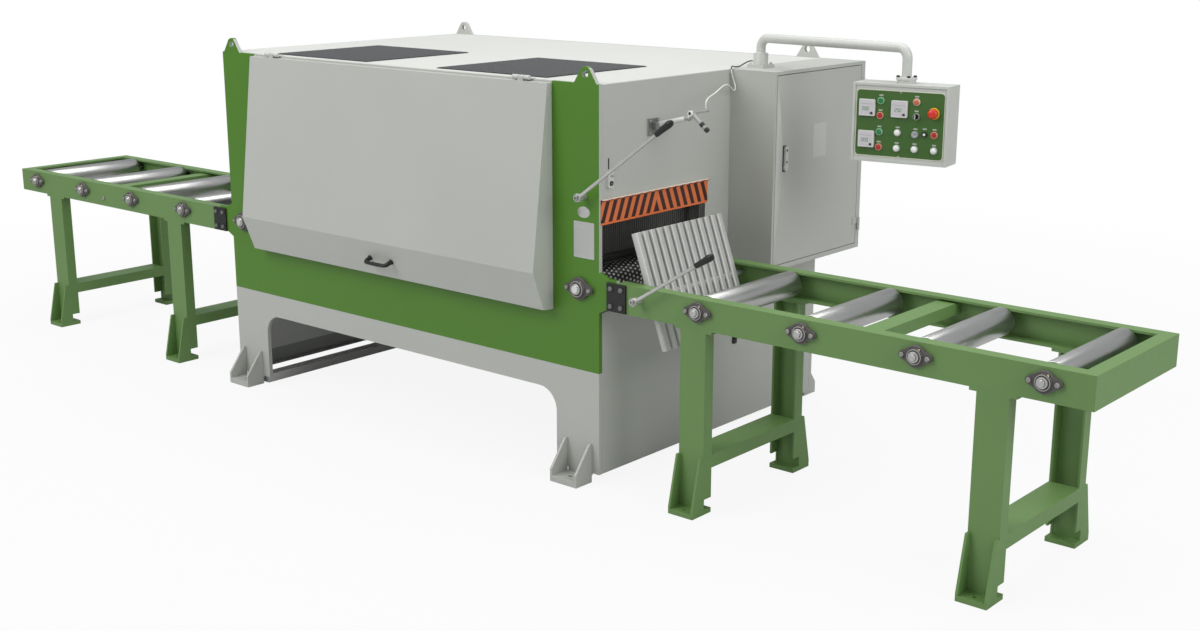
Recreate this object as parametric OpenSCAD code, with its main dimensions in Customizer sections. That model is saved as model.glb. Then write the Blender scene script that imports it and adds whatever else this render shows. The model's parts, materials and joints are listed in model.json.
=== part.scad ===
// Multi rip saw for cants and boards: a plate-framed saw body with two arbors,
// spiked feed rollers, a front hood, a switch cabinet with a swinging control
// box, and a roller table at the infeed (+X) and at the outfeed (-X).
// Origin: floor level, in the middle of the four floor anchors of the body.

/* [Body] */
// Length of the saw body along the feed
body_len = 2414; // [2300:2:2700]
// Depth of the saw body over its side plates
body_depth = 1590; // [1500:10:1900]
// Height of the top of the body
body_top = 1650; // [1640:5:1800]
// Thickness of the front, inner and rear side plates
plate_t = 20; // [12:1:30]
// Thickness of the end panels and the top cover
sheet_t = 4; // [3:0.5:6]
// Height of the lower edge of the plates
plate_bottom = 40; // [34:1:50]
// Clear width of the saw tunnel
tunnel_w = 651; // [640:1:700]
// Height of the arch under the side plates
arch_top = 367; // [300:1:420]
// Distance of the arch's end from the body's end
arch_in = 235; // [210:1:300]
// Corner radius of the arch
arch_r = 95; // [60:1:120]
// Side length of each roof vent
vent_side = 645; // [500:5:660]
// Distance of each roof vent from the middle of the body
vent_x = 550; // [480:5:600]
// Distance of the roof vents' middle behind the front plate
vent_y = 387; // [350:1:420]

/* [Feet and lugs] */
// Width of a machine foot along the feed
foot_w = 146; // [120:1:180]
// Reach of a machine foot outside its plate
foot_reach = 100; // [80:1:130]
// Distance of a machine foot's middle from the body's end
foot_in = 112; // [90:1:140]
// Radius of the anchor hole in a machine foot
foot_hole_r = 11; // [8:0.5:14]
// Height of the top of a machine foot's gussets
foot_gusset_z = 170; // [120:5:220]
// Distance of a lifting lug from the body's end
lug_in = 72; // [65:1:200]
// Radius of the eye in a lifting lug
lug_eye_r = 15; // [10:1:18]

/* [Hood] */
// Distance of the hood's end from the body's end
hood_in = 249; // [210:1:300]
// Sheet thickness of the hood
hood_t = 3; // [2:0.5:5]
// Reach of the hood at its upper edge
hood_top_out = 27; // [22:1:40]
// Reach of the hood at its fold
hood_fold_out = 122; // [110:1:150]
// Height of the fold
hood_fold_z = 881; // [850:1:920]
// Reach of the hood at its lower edge
hood_low_out = 60; // [40:1:80]
// Height of the lower edge
hood_low_z = 716; // [690:1:720]

/* [Feed] */
// Height of the line on which the stock passes
pass_z = 897; // [890:1:905]
// Tip radius of a spiked feed roller
feed_r = 75; // [60:1:80]
// Depth of the spikes
spike_h = 9; // [5:1:12]
// Spikes round a feed roller
spikes = 16; // [12:1:20]
// Rows of spikes along a feed roller
spike_rows = 13; // [8:1:15]
// Shaft radius of the feed rollers
feed_shaft_r = 15; // [12.5:0.5:17.5]
// Distance of the outer feed rollers inside the body's ends
feed_in = 100; // [92:1:130]
// Distance of the inner feed rollers from the middle
feed_x_in = 520; // [500:5:560]
// Radius of a press roller
press_r = 60; // [45:1:65]
// Distance of the press rollers from the middle
press_x = 690; // [660:5:720]

/* [Saws] */
// Radius of a saw blade over its teeth
blade_r = 190; // [170:1:195]
// Thickness of a saw blade
blade_t = 4; // [3:0.5:6]
// Blades on each arbor
blades = 10; // [4:1:10]
// Teeth of a saw blade
teeth = 24; // [16:1:30]
// Radius of an arbor
arbor_r = 35; // [30:1:40]
// Distance of an arbor from the middle, upper to +X and lower to -X
arbor_x = 210; // [205:1:225]
// Height of the upper arbor
upper_z = 1180; // [1170:1:1195]
// Height of the lower arbor
lower_z = 805; // [790:1:808]

/* [Roller tables] */
// Height of the top of the table rails
rail_top = 871; // [860:1:875]
// Height of the channel section used for rails and legs
rail_h = 120; // [100:1:140]
// Flange width of the channel section
rail_b = 55; // [45:1:60]
// Web thickness of the channel section
rail_web = 7; // [5:0.5:9]
// Flange thickness of the channel section
rail_flange = 9; // [6:0.5:11]
// Distance from the body's end to the first infeed roller
infeed_lead = 499; // [480:1:540]
// Distance from the body's end to the first outfeed roller
outfeed_lead = 412; // [400:1:460]
// Distance between table rollers
roller_pitch = 470; // [440:5:500]
// Distance from the last roller to the end of the table
roller_tail = 172; // [150:1:200]
// Radius of a table roller
roller_r = 54; // [45:1:57]
// Shaft radius of a table roller
roller_shaft_r = 12.5; // [10:0.5:15]
// Distance from a roller to the leg beside it
leg_offset = 24; // [15:1:40]
// Reach of a leg's foot outside the rail
leg_foot_reach = 66; // [50:1:80]
// Radius of the anchor hole in a leg's foot
leg_hole_r = 8; // [6:0.5:10]
// Height of the cross stretcher's upper face
stretcher_z = 240; // [200:5:300]

/* [Anti-kickback fingers] */
// Radius of the upper and lower finger shafts
finger_shaft_r = 12; // [10:0.5:14]
// Distance of the upper finger shaft inside the body's end
upper_finger_in = 73; // [66:1:78]
// Height of the upper finger shaft
upper_finger_z = 1203; // [1200:1:1215]
// Length of an upper finger below its shaft
upper_finger_len = 260; // [230:1:280]
// Upper fingers across the tunnel
upper_fingers_n = 46; // [30:1:48]
// Distance of the lower finger shaft outside the body's end
lower_finger_out = 215; // [205:1:225]
// Height of the lower finger shaft
lower_finger_z = 822; // [812:1:828]
// Lower fingers across the table
lower_fingers_n = 13; // [8:1:13]
// Length of a lower finger above its shaft
lower_finger_up = 261; // [200:1:265]
// Length of a lower finger below its shaft
lower_finger_down = 223; // [150:1:228]
// Lean of the lower fingers from upright, in degrees
lower_finger_lean = 19.6; // [5:0.1:20]
// Length of the upper lever
upper_lever_len = 577; // [450:1:650]
// Rise of the upper lever, in degrees
upper_lever_rise = 36; // [20:1:45]
// Length of the lower lever
lower_lever_len = 446; // [350:1:500]
// Rise of the lower lever, in degrees
lower_lever_rise = 32; // [20:1:45]
// Radius of a lever's rod
lever_r = 7; // [6:0.5:9]

/* [Switch cabinet] */
// Reach of the cabinet from the body's end
cab_reach = 233; // [200:1:300]
// Distance of the cabinet from the inner plate
cab_in = 180; // [140:1:300]
// Height of the cabinet's floor
cab_low = 788; // [740:1:820]
// Thickness of the cabinet door
door_t = 20; // [15:1:25]
// Gap round the cabinet door
door_gap = 3; // [2:0.5:5]
// Width of the frame beside and above the cabinet door
door_frame = 18; // [15:1:25]
// Width of the frame at the door's hinges
hinge_frame = 34; // [30:1:45]

/* [Control box] */
// Radius of the control arm's tube
arm_r = 24; // [20:0.5:25]
// Length of the control arm
arm_len = 765; // [700:1:850]
// Height of the arm's level run above the body's top
arm_rise = 130; // [120:1:170]
// Turn of the arm away from the feed direction, in degrees
arm_turn = -5.6; // [-15:0.1:5]
// Turn of the control box away from the feed direction, in degrees
box_turn = 9; // [0:0.5:20]
// Distance of the arm's post from the body's end
post_out = 51; // [45:1:80]
// Distance of the arm's post from the cabinet's front wall
post_in = 149; // [120:1:300]
// Width of the control box
box_w = 403; // [390:1:440]
// Height of the control box
box_h = 317; // [300:1:340]
// Depth of the control box
box_d = 124; // [110:1:150]
// Distance of the control box's top below the body's top
box_drop = 13; // [5:1:30]
// Width of the control plate
face_w = 367; // [350:1:375]
// Height of the control plate
face_h = 262; // [250:1:270]
// Radius of a push button's cap
button_r = 10.5; // [9:0.1:10.8]
// Radius of the emergency stop's head
estop_r = 20; // [17:0.5:22]

/* [Hidden] */
$fn = 64;

// Colours
grey = [0.73, 0.74, 0.71];
pale_grey = [0.82, 0.83, 0.81];
leaf_green = [0.33, 0.55, 0.19];
table_green = [0.42, 0.57, 0.35];
panel_green = [0.24, 0.41, 0.20];
steel = [0.75, 0.75, 0.76];
iron = [0.27, 0.26, 0.26];
black = [0.10, 0.10, 0.10];
orange = [0.84, 0.37, 0.18];
red = [0.75, 0.12, 0.10];
green = [0.10, 0.50, 0.22];

// Clearances
run = 0.05;
slip = 0.3;
gap = 1;
// Small overlap that lets cuts pass through a face
cut = 1;

// Main planes of the body
hx = body_len / 2;
front_y = -body_depth / 2;
rear_y = body_depth / 2;
tunnel_y = front_y + plate_t;
inner_y = tunnel_y + tunnel_w;
inner_back = inner_y + plate_t;
shell_y = rear_y - plate_t;
hole_slack = 7;
arch_half = hx - arch_in;

// Ears of the plates and the splice plates that join the tables to them
splice_w = 97;
splice_h = 116;
splice_t = 8;
splice_z = 811;
splice_mid = 94;
splice_bolt_inset = 22;
ear_end = hx + splice_mid - gap;
ear_step = 40;
ear_over = 11;
ear_slope = 20;

// Roof and vents
top_z = body_top;
vent_rim = 20;
vent_t = 2;
vent_slots = 22;
vent_mid_y = front_y + vent_y;

// Feet
foot_t = 25;
foot_nose = 30;
gusset_t = 12;
foot_hole_out = 50;
foot_x = hx - foot_in;

// Lugs
lug_w = 120;
lug_h = 67;
lug_top_r = 30;
lug_flank = 25;
lug_x = hx - lug_in;

// Hood hinge
hinge_z = top_z + 6;
hinge_y = front_y - 14;
hinge_r = 9;
hinge_pin_r = 4;
hinge_len = 94;
hood_half = hx - hood_in;
hinge_in = 153;
hinge_x = hood_half - hinge_in;
hinge_leaf = 4;
hood_top_z = top_z - 8;
handle_x = 0;
handle_span = 150;
handle_out = 38;
handle_r = 7;

// Window in the front plate, behind the hood
window_half = 400;
window_low = 730;
side_window_in = 98;
side_window_half = hood_half - side_window_in;
side_window_low = 935;
window_drop = 90;
window_top = top_z - window_drop;

// Feed rollers
feed_z = pass_z - feed_r;
feed_side_gap = 15;
spike_w = 18;
feed_x_out = hx - feed_in;
feed_xs = [feed_x_out, feed_x_in, -feed_x_in, -feed_x_out];
sprocket_r = 60;
sprocket_t = 10;
sprocket_in = 46;
sprocket_y = inner_back + sprocket_in;
drive_gap = 8;
gear_d = 110;
bed_t = 12;
bed_z = pass_z - 5;
bed_gap = 14;

// Flange bearing sizes: bolt spacing, boss radius, lug radius, flange thickness, height
fb_feed = [117, 40, 15, 15, 31];
fb_table = [99, 35, 15, 14, 27];

// Press rollers
press_min = 20;
press_z = pass_z + press_min + press_r;
press_shaft_r = 15;
press_side = 45;
cheek_t = 18;
cheek_w = 70;
bar_rise = 55;
bar_low = press_z + press_r + bar_rise;
bar_h = 50;
bar_w = 60;
rod_r = 15;
rod_in = 160;
guide_rod_ys = [tunnel_y + rod_in, inner_y - rod_in];
guide_h = 60;
guide_w = 90;
lift_gap = 12;
rod_over = 15;
roof_gap = 17;
bar_top = bar_low + bar_h;
// Lift that takes the rods up to the roof and the bar up to the guide
press_lift = (top_z - sheet_t - roof_gap - bar_top - lift_gap - guide_h - rod_over) / 2;
guide_low = bar_top + press_lift + lift_gap;
rod_top = guide_low + guide_h + rod_over;

// Arbors
housing_r = 75;
lantern_r = 150;
lantern_t = 22;
lantern_len = 230;
housing_out = 40;
coupling_r = 62;
motor_shaft_r = 24;
motor_shaft_in = 90;
motor_r = 170;
motor_rear_gap = 159;
motor_flange_r = 185;
motor_flange_t = 20;
fan_len = 70;
motor_len = shell_y - inner_back - lantern_len - motor_flange_t - fan_len - motor_rear_gap;
spacer_r = 52;
blade_in = 84;
blade_first = tunnel_y + blade_in;
collar_t = 18;
collar_gap = 9;
blade_pitch = (tunnel_w - blade_in - housing_out - collar_t - collar_gap) / blades;
spacer_len = blade_pitch - blade_t - 2 * run;
nut_r = 46;
nut_t = 22;
stub_len = 8;
coupling_in = 150;
coupling_len = 60;

// Tables
table_start = hx + splice_mid + gap;
rail_low = rail_top - rail_h;
roller_z = rail_top + 3 - roller_r;
roller_len = 572;
table_y = [front_y, inner_back];
table_mid = (front_y + inner_back) / 2;
infeed_xs = [for (i = [0:3]) hx + infeed_lead + i * roller_pitch];
outfeed_xs = [for (i = [0:3]) -(hx + outfeed_lead + i * roller_pitch)];
infeed_end = infeed_xs[3] + roller_tail;
outfeed_end = outfeed_xs[3] - roller_tail;
infeed_legs = [infeed_xs[0] - leg_offset, infeed_xs[3] - 7.5 * leg_offset];
outfeed_legs = [outfeed_xs[0] - 4 * leg_offset, outfeed_xs[3] + 7 * leg_offset];
leg_plate_t = 12;
leg_plate_w = 176;
leg_foot_t = 20;
leg_gusset_h = 236;
leg_gusset_t = 10;
leg_notch_d = 45;
leg_notch_h = 43;
cross_w = 80;
cross_drop = 8;

// Finger shafts
upper_finger_x = hx - upper_finger_in;
lower_finger_x = hx + lower_finger_out;
finger_y0 = tunnel_y + 14;
finger_pitch = (tunnel_w - 28) / upper_fingers_n;
finger_t = finger_pitch - 3;
lower_side = 1;
lower_y0 = front_y + rail_b + lower_side;
lower_pitch = (tunnel_w + 2 * plate_t - 2 * rail_b - 2 * lower_side) / lower_fingers_n;
lower_w = lower_pitch - 6;
lower_t = 30;
lever_out = 53;
lower_lever_out = 52;
eye_r = 17;
eye_t = 24;
shaft_over = 10;
grip_len = 92;
grip_r = 14;

// Mouth guard
ear_gap = 3;
mouth_low = splice_z - splice_h / 2 - ear_slope - ear_gap;
mouth_top = 1188;
mouth_side = 11;
guard_h = 103;
guard_top = 1194;
guard_t = 4;

// Cabinet
cab_x = hx + cab_reach;
cab_y = inner_back + cab_in;
cab_w = rear_y - cab_y;
cab_t = 3;
cab_flat = 18;
door_axis_x = cab_x + 7;
door_hinge_r = 7;
door_pin_r = 3.5;
door_hinge_len = 60;
door_hinge_in = 90;
door_y0 = cab_y + door_frame;
door_y1 = rear_y - hinge_frame;
door_z0 = cab_low + door_frame + 6;
door_z1 = top_z - door_frame;
door_axis_y = door_y1 + 14;
lock_y = door_y0 + 67;
lock_z = 1235;
lock_len = 92;

// Control arm and box
post_x = hx + post_out;
post_y = cab_y + post_in;
arm_z = top_z + arm_rise;
box_top = top_z - box_drop;
collar_r = 32;
collar_h = 60;
arm_bend = 55;
box_flange_h = 14;
arm_flange_h = 10;
swivel_r = 15;
swivel_h = 40;
box_x = post_x + arm_len * cos(arm_turn);
box_y = post_y + arm_len * sin(arm_turn);
box_rim = 4;
box_t = 3;
face_t = 3;
face_r = 12;
face_drop = 29;
face_z = box_top - face_drop - face_h / 2;
bezel_r = 14.5;
bezel_h = 5;
stem_r = 5;
button_out = 8;
meter_side = 66;
meter_h = 10;
// Places on the control plate, as shares of its width and height from the upper left
meters_at = [[0.126, 0.266], [0.499, 0.262], [0.127, 0.748]];
lamps_at = [[0.483, 0.625], [0.48, 0.865], [0.685, 0.862], [0.906, 0.862]];
ring_at = [0.688, 0.142];
key_at = [0.686, 0.633];
jack_at = [0.793, 0.624];
start_at = [[0.28, 0.151], [0.273, 0.63]];
stop_at = [[0.277, 0.379], [0.273, 0.865], [0.903, 0.624]];
selector_at = [0.691, 0.362];
estop_at = [0.887, 0.30];

// Laser pointer on the infeed end
laser_in = 333;
laser_share = 0.578;
laser_y = front_y + laser_in;
laser_z = mouth_top + laser_share * (top_z - mouth_top);
laser_plate = 68;
laser_rise = 13.9;
laser_swing = 6.4;
laser_rod = 178;
gland_out = 183;
gland_side = 117;
gland_rise = 81;
gland_h = 15;

// Route of the laser's cord, from its gland to the arm's collar
cord_r = 3;
// From the laser's gland to the cabinet's edge: share of the way, then offsets in X and Z
cord_start = [hx + gland_out, laser_y + gland_side, laser_z + gland_rise];
cord_edge = [hx + 35, cab_y, top_z];
cord_leg_1 = [
    [0, 0, -0], [0, 0, 12], [0.019, -0.2, 22.8], [0.076, -0.8, 25.3],
    [0.178, -3.7, 17.7], [0.321, -7.5, 5.4], [0.463, -9.5, -1.8], [0.606, -10.3, -9.1],
    [0.748, -11.3, -27.3], [0.85, -12.2, -52.9]
];
// Up the cabinet's edge, from the edge's upper end
cord_leg_2 = [
    [38, -35, -84], [35, -18, -87], [33, -10, -76], [25, -9, -54],
    [15, -9, -28], [9, -9, -5], [7, -5, 7], [5, 5, 11]
];
// Across the roof to the collar, from the post's foot
cord_leg_3 = [
    [-53, -120, 7], [-63, -85, 4], [-71, -52, 5], [-71, -30, 11],
    [-64, -13, 19], [-52, -5, 24], [-44, -4, 25], [-36, -4, 25]
];
cord_pts = concat(
    [for (p = cord_leg_1) cord_start + p[0] * (cord_edge - cord_start) + [p[1], 0, p[2]]],
    [for (p = cord_leg_2) [hx, cab_y, top_z] + p],
    [for (p = cord_leg_3) [post_x, post_y, top_z] + p]
);

// Extrudes a drawing of X and Z along +Y from y0
module plate_xz(y0, t) {
    translate([0, y0 + t, 0]) rotate([90, 0, 0]) linear_extrude(t) children();
}

// Extrudes a drawing of Y and Z along +X from x0
module plate_yz(x0, t) {
    translate([x0, 0, 0]) rotate([90, 0, 90]) linear_extrude(t) children();
}

// Cylinder along +Y
module rod_y(x, y0, z, r, len) {
    translate([x, y0, z]) rotate([-90, 0, 0]) cylinder(h = len, r = r);
}

// Cylinder along +X
module rod_x(x0, y, z, r, len) {
    translate([x0, y, z]) rotate([0, 90, 0]) cylinder(h = len, r = r);
}

// Box between two corners
module block(lo, hi) {
    translate(lo) cube(hi - lo);
}

// Copies the children to both ends of the body
module both_ends() {
    children();
    mirror([1, 0, 0]) children();
}

// Outline of a circle tangent to a smaller circle at +u
module tear(r_big, r_small, d) {
    a = acos((r_big - r_small) / d);
    circle(r_big);
    translate([d, 0]) circle(r_small);
    polygon([
        [r_big * cos(a), r_big * sin(a)], [d + r_small * cos(a), r_small * sin(a)],
        [d + r_small * cos(a), -r_small * sin(a)], [r_big * cos(a), -r_big * sin(a)]
    ]);
}

// Points of a toothed wheel: each tooth has a root, two tip corners and a root
function toothed(n, root, tip, share) = [
    for (i = [0:n - 1])
        for (p = [[root, 0.5 - share], [tip, 0.5 - share / 2], [tip, 0.5 + share / 2], [root, 0.5 + share]])
            let (a = (i + p[1]) * 360 / n) [p[0] * cos(a), p[0] * sin(a)]
];

// Points of a saw blade: a raked face, a tip and a gullet for each tooth
function saw_points(n, tip, gullet) = [
    for (i = [0:n - 1])
        for (p = [[gullet, 0.12], [tip, 0], [tip - 3, 0.3], [gullet + 2, 0.55]])
            let (a = (i + p[1]) * 360 / n) [p[0] * cos(a), p[0] * sin(a)]
];

// Section of the rolled channel, web along +v at u = 0, flanges towards +u
module channel(h) {
    square([rail_web, h]);
    square([rail_b, rail_flange]);
    translate([0, h - rail_flange]) square([rail_b, rail_flange]);
}

// Outline of a lifting lug, rising from the plate's upper edge
module lug_outline() {
    eye_z = lug_h - lug_top_r;
    u = lug_top_r * cos(lug_flank);
    v = eye_z + lug_top_r * sin(lug_flank);
    translate([0, eye_z]) circle(lug_top_r);
    polygon([[-lug_w / 2, -cut], [lug_w / 2, -cut], [lug_w / 2, 0], [u, v], [-u, v], [-lug_w / 2, 0]]);
}

// Outline of a side plate with its arch and lifting lugs
module side_outline() {
    difference() {
        union() {
            translate([-hx, plate_bottom]) square([body_len, top_z - plate_bottom]);
            for (s = [-1, 1]) translate([s * lug_x, top_z]) lug_outline();
        }
        for (s = [-1, 1]) translate([s * lug_x, top_z + lug_h - lug_top_r]) circle(lug_eye_r);
        translate([-arch_half, 0]) square([2 * arch_half, arch_top - arch_r]);
        translate([-arch_half + arch_r, 0]) square([2 * (arch_half - arch_r), arch_top]);
        for (s = [-1, 1]) translate([s * (arch_half - arch_r), arch_top - arch_r]) circle(arch_r);
    }
}

// Ear that carries a table, at the end of a plate that s points to
module ear(s) {
    high = splice_z + splice_h / 2 + ear_over;
    low = splice_z - splice_h / 2;
    root = hx - 3 * sheet_t;
    pts = [
        [s * root, low - ear_slope], [s * hx, low - ear_slope],
        [s * (hx + ear_step), low], [s * ear_end, low],
        [s * ear_end, high], [s * (hx + ear_step), high],
        [s * hx, high + ear_slope], [s * root, high + ear_slope]
    ];
    polygon(s > 0 ? pts : [for (i = [len(pts) - 1:-1:0]) pts[i]]);
}

// Holes for the feed roller shafts and the upper finger shaft
module shaft_holes() {
    for (x = feed_xs) translate([x, feed_z]) circle(feed_shaft_r + hole_slack);
    translate([upper_finger_x, upper_finger_z]) circle(finger_shaft_r + run);
}

module front_plate() {
    color(leaf_green) plate_xz(front_y, plate_t) difference() {
        union() {
            side_outline();
            for (s = [-1, 1]) ear(s);
        }
        shaft_holes();
        translate([-window_half, window_low]) square([2 * window_half, window_top - window_low]);
        translate([-side_window_half, side_window_low])
            square([2 * side_window_half, window_top - side_window_low]);
    }
}

module inner_plate() {
    half = hx - sheet_t;
    low = arch_top + 60;
    color(grey) plate_xz(inner_y, plate_t) difference() {
        union() {
            translate([-half, low]) square([2 * half, top_z - sheet_t - low]);
            for (s = [-1, 1]) ear(s);
        }
        shaft_holes();
        translate([arbor_x, upper_z]) circle(housing_r + slip);
        translate([-arbor_x, lower_z]) circle(housing_r + slip);
    }
}

module rear_plate() {
    louvre_w = 420;
    louvre_h = 16;
    louvres = 9;
    color(grey) plate_xz(shell_y, plate_t) difference() {
        side_outline();
        for (s = [-1, 1])
            for (i = [0:louvres - 1])
                translate([s * vent_x - louvre_w / 2, upper_z + (i - louvres / 2) * 3 * louvre_h])
                    square([louvre_w, louvre_h]);
    }
}

module end_panels() {
    lip = 60;
    color(grey) both_ends() {
        plate_yz(hx - sheet_t, sheet_t) difference() {
            translate([tunnel_y, plate_bottom])
                square([shell_y - tunnel_y, top_z - sheet_t - plate_bottom]);
            translate([tunnel_y - cut, mouth_low])
                square([inner_back + mouth_side + cut - tunnel_y, mouth_top - mouth_low]);
        }
        block([hx - lip, tunnel_y, plate_bottom], [hx - sheet_t, shell_y, plate_bottom + sheet_t]);
    }
}

module top_cover() {
    open = vent_side - 2 * vent_rim;
    color(pale_grey) difference() {
        block([-hx, tunnel_y, top_z - sheet_t], [hx, shell_y, top_z]);
        for (s = [-1, 1])
            translate([s * vent_x - open / 2, vent_mid_y - open / 2, top_z - sheet_t - cut])
                cube([open, open, sheet_t + 2 * cut]);
    }
}

module vent_grilles() {
    open = vent_side - 2 * vent_rim;
    slot_pitch = open / vent_slots;
    slot_l = (open - 2 * vent_rim) / 3;
    color(black) for (s = [-1, 1])
        translate([s * vent_x - vent_side / 2, vent_mid_y - vent_side / 2, top_z]) linear_extrude(vent_t)
            difference() {
                square(vent_side);
                for (i = [0:vent_slots - 1], j = [0:2])
                    translate([vent_rim + j * (slot_l + vent_rim), vent_rim + (i + 0.2) * slot_pitch])
                        square([slot_l, 0.6 * slot_pitch]);
            }
}

// One machine foot on the front plate's face at +X, with its two gussets
module machine_foot() {
    out = front_y - foot_reach;
    difference() {
        block([foot_x - foot_w / 2, out, 0], [foot_x + foot_w / 2, front_y, foot_t]);
        translate([foot_x, front_y - foot_hole_out, -cut]) cylinder(h = foot_t + 2 * cut, r = foot_hole_r);
    }
    for (x = [foot_x - foot_w / 2, foot_x + foot_w / 2 - gusset_t])
        plate_yz(x, gusset_t) polygon([
            [front_y, foot_t - cut], [out, foot_t - cut], [out, foot_t + foot_nose],
            [front_y - gusset_t, foot_gusset_z], [front_y, foot_gusset_z]
        ]);
}

module machine_feet() {
    color(grey) both_ends() {
        machine_foot();
        mirror([0, 1, 0]) machine_foot();
    }
}

module feed_bed() {
    from_out = feed_r + bed_gap;
    saw_gap = blade_r + bed_gap;
    spans = [
        [feed_x_in + from_out, feed_x_out - from_out],
        [-arbor_x + saw_gap, feed_x_in - from_out],
        [-feed_x_out + from_out, -feed_x_in - from_out]
    ];
    color(steel) for (s = spans)
        block([s[0], tunnel_y, bed_z - bed_t], [s[1], inner_y, bed_z]);
}

// Cast housing with lantern: bearing tube, flange on the inner plate, shell and motor flange
module arbor_housing(x, z) {
    tube_len = 120;
    translate([x, inner_back, z]) rotate([-90, 0, 0]) rotate_extrude() {
        translate([arbor_r + run, -plate_t - housing_out])
            square([housing_r - arbor_r - run, plate_t + housing_out + tube_len]);
        translate([housing_r - cut, 0]) square([lantern_r - housing_r + cut, motor_flange_t]);
        translate([lantern_r - lantern_t, motor_flange_t - cut])
            square([lantern_t, lantern_len - motor_flange_t + cut]);
        translate([lantern_r - lantern_t, lantern_len - motor_flange_t])
            square([motor_flange_r - lantern_r + lantern_t, motor_flange_t]);
    }
}

module arbor_housings() {
    color(iron) {
        arbor_housing(arbor_x, upper_z);
        arbor_housing(-arbor_x, lower_z);
    }
}

// Flange motor with cooling ribs, behind a lantern
module motor(x, z) {
    y0 = inner_back + lantern_len;
    box_s = 150;
    box_rise = 45;
    box_from = 90;
    rib_h = 20;
    ribs = 36;
    translate([x, y0, z]) rotate([-90, 0, 0]) difference() {
        union() {
            cylinder(h = motor_flange_t, r = motor_flange_r);
            translate([0, 0, motor_flange_t - cut]) linear_extrude(motor_len + cut)
                polygon(toothed(ribs, motor_r - rib_h, motor_r, 0.2));
            translate([0, 0, motor_flange_t + motor_len - cut])
                cylinder(h = fan_len + cut, r = motor_r - rib_h / 2);
            translate([-box_s / 2, -motor_r - box_rise, box_from]) cube([box_s, 2 * box_rise, box_s]);
        }
        translate([0, 0, -cut]) cylinder(h = motor_shaft_in + 2 * cut, r = motor_shaft_r + run);
    }
}

module main_motors() {
    color(iron) {
        motor(arbor_x, upper_z);
        motor(-arbor_x, lower_z);
    }
}

// Gearmotor on the rear end of an outer feed roller, with the chain to the inner roller
module feed_drive() {
    y0 = sprocket_y + sprocket_t + drive_gap;
    gear_w = 150;
    gear_h = 190;
    base_t = 14;
    drive_motor_r = 50;
    drive_motor_len = 230;
    chain_r = sprocket_r + 12;
    chain_w = 18;
    dx = feed_x_out - feed_x_in;
    // gearbox with hollow shaft, torque arm to the inner plate and motor below
    difference() {
        union() {
            block([feed_x_out - gear_w / 2, y0, feed_z - gear_h / 2],
                [feed_x_out + gear_w / 2, y0 + gear_d, feed_z + gear_h / 2]);
            block([feed_x_out - gear_w / 2, inner_back, feed_z - gear_h / 2 - base_t],
                [feed_x_out + gear_w / 2, y0 + gear_d, feed_z - gear_h / 2 + cut]);
            translate([feed_x_out, y0 + gear_d / 2, feed_z - gear_h / 2 - base_t - drive_motor_len])
                cylinder(h = drive_motor_len + base_t, r = drive_motor_r);
        }
        rod_y(feed_x_out, y0 - cut, feed_z, feed_shaft_r + run, gear_d + 2 * cut);
    }
    // chain loop, standing clear of the wheels
    plate_xz(sprocket_y + sprocket_t / 2 - chain_w / 2, chain_w) difference() {
        union() {
            for (x = [feed_x_in, feed_x_out]) translate([x, feed_z]) circle(chain_r);
            translate([feed_x_in, feed_z - chain_r]) square([dx, 2 * chain_r]);
        }
        for (x = [feed_x_in, feed_x_out]) translate([x, feed_z]) circle(sprocket_r + slip);
        translate([feed_x_in, feed_z - sprocket_r - slip]) square([dx, 2 * (sprocket_r + slip)]);
    }
}

module feed_drives() {
    color(iron) both_ends() feed_drive();
}

// Two-bolt flange bearing on a face at y = 0, standing towards -Y
module flange_bearing(size, bore) {
    d = size[0] / 2;
    boss = size[1];
    h = size[4];
    rotate([90, 0, 0]) difference() {
        union() {
            linear_extrude(size[3]) {
                tear(boss, size[2], d);
                rotate(180) tear(boss, size[2], d);
            }
            rotate_extrude() polygon([[0, size[3] - cut], [boss - 2, size[3] - cut], [boss - 6, h - 6],
                [boss - 9, h - 4], [boss - 9, h - 6], [boss - 14, h - 6], [bore + 6, h], [0, h]]);
            for (s = [-1, 1]) translate([s * d, 0, size[3] - cut]) cylinder(h = 8 + cut, r = 9, $fn = 6);
        }
        translate([0, 0, -cut]) cylinder(h = h + 2 * cut, r = bore + run);
    }
}

module flange_bearings() {
    color(iron) {
        for (x = feed_xs) {
            translate([x, front_y, feed_z]) flange_bearing(fb_feed, feed_shaft_r);
            translate([x, inner_back, feed_z]) mirror([0, 1, 0]) flange_bearing(fb_feed, feed_shaft_r);
        }
        for (x = concat(infeed_xs, outfeed_xs)) {
            translate([x, table_y[0], roller_z]) flange_bearing(fb_table, roller_shaft_r);
            translate([x, table_y[1], roller_z]) mirror([0, 1, 0]) flange_bearing(fb_table, roller_shaft_r);
        }
    }
}

module guide_beams() {
    color(grey) for (s = [-1, 1]) difference() {
        block([s * press_x - guide_w / 2, tunnel_y, guide_low],
            [s * press_x + guide_w / 2, inner_y, guide_low + guide_h]);
        for (y = guide_rod_ys)
            translate([s * press_x, y, guide_low - cut]) cylinder(h = guide_h + 2 * cut, r = rod_r + run);
    }
}

module splice_plates() {
    bolt_r = 8;
    bolt_h = 7;
    mid = hx + splice_mid;
    color(black) both_ends() for (side = [0, 1]) {
        y0 = side == 0 ? front_y - splice_t : inner_back;
        y1 = side == 0 ? y0 - bolt_h : y0 + splice_t - cut;
        block([mid - splice_w / 2, y0, splice_z - splice_h / 2],
            [mid + splice_w / 2, y0 + splice_t, splice_z + splice_h / 2]);
        for (sx = [-1, 1], sz = [-1, 1])
            rod_y(mid + sx * (splice_w / 2 - splice_bolt_inset), y1,
                splice_z + sz * (splice_h / 2 - splice_bolt_inset), bolt_r, bolt_h + cut);
    }
}

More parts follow.
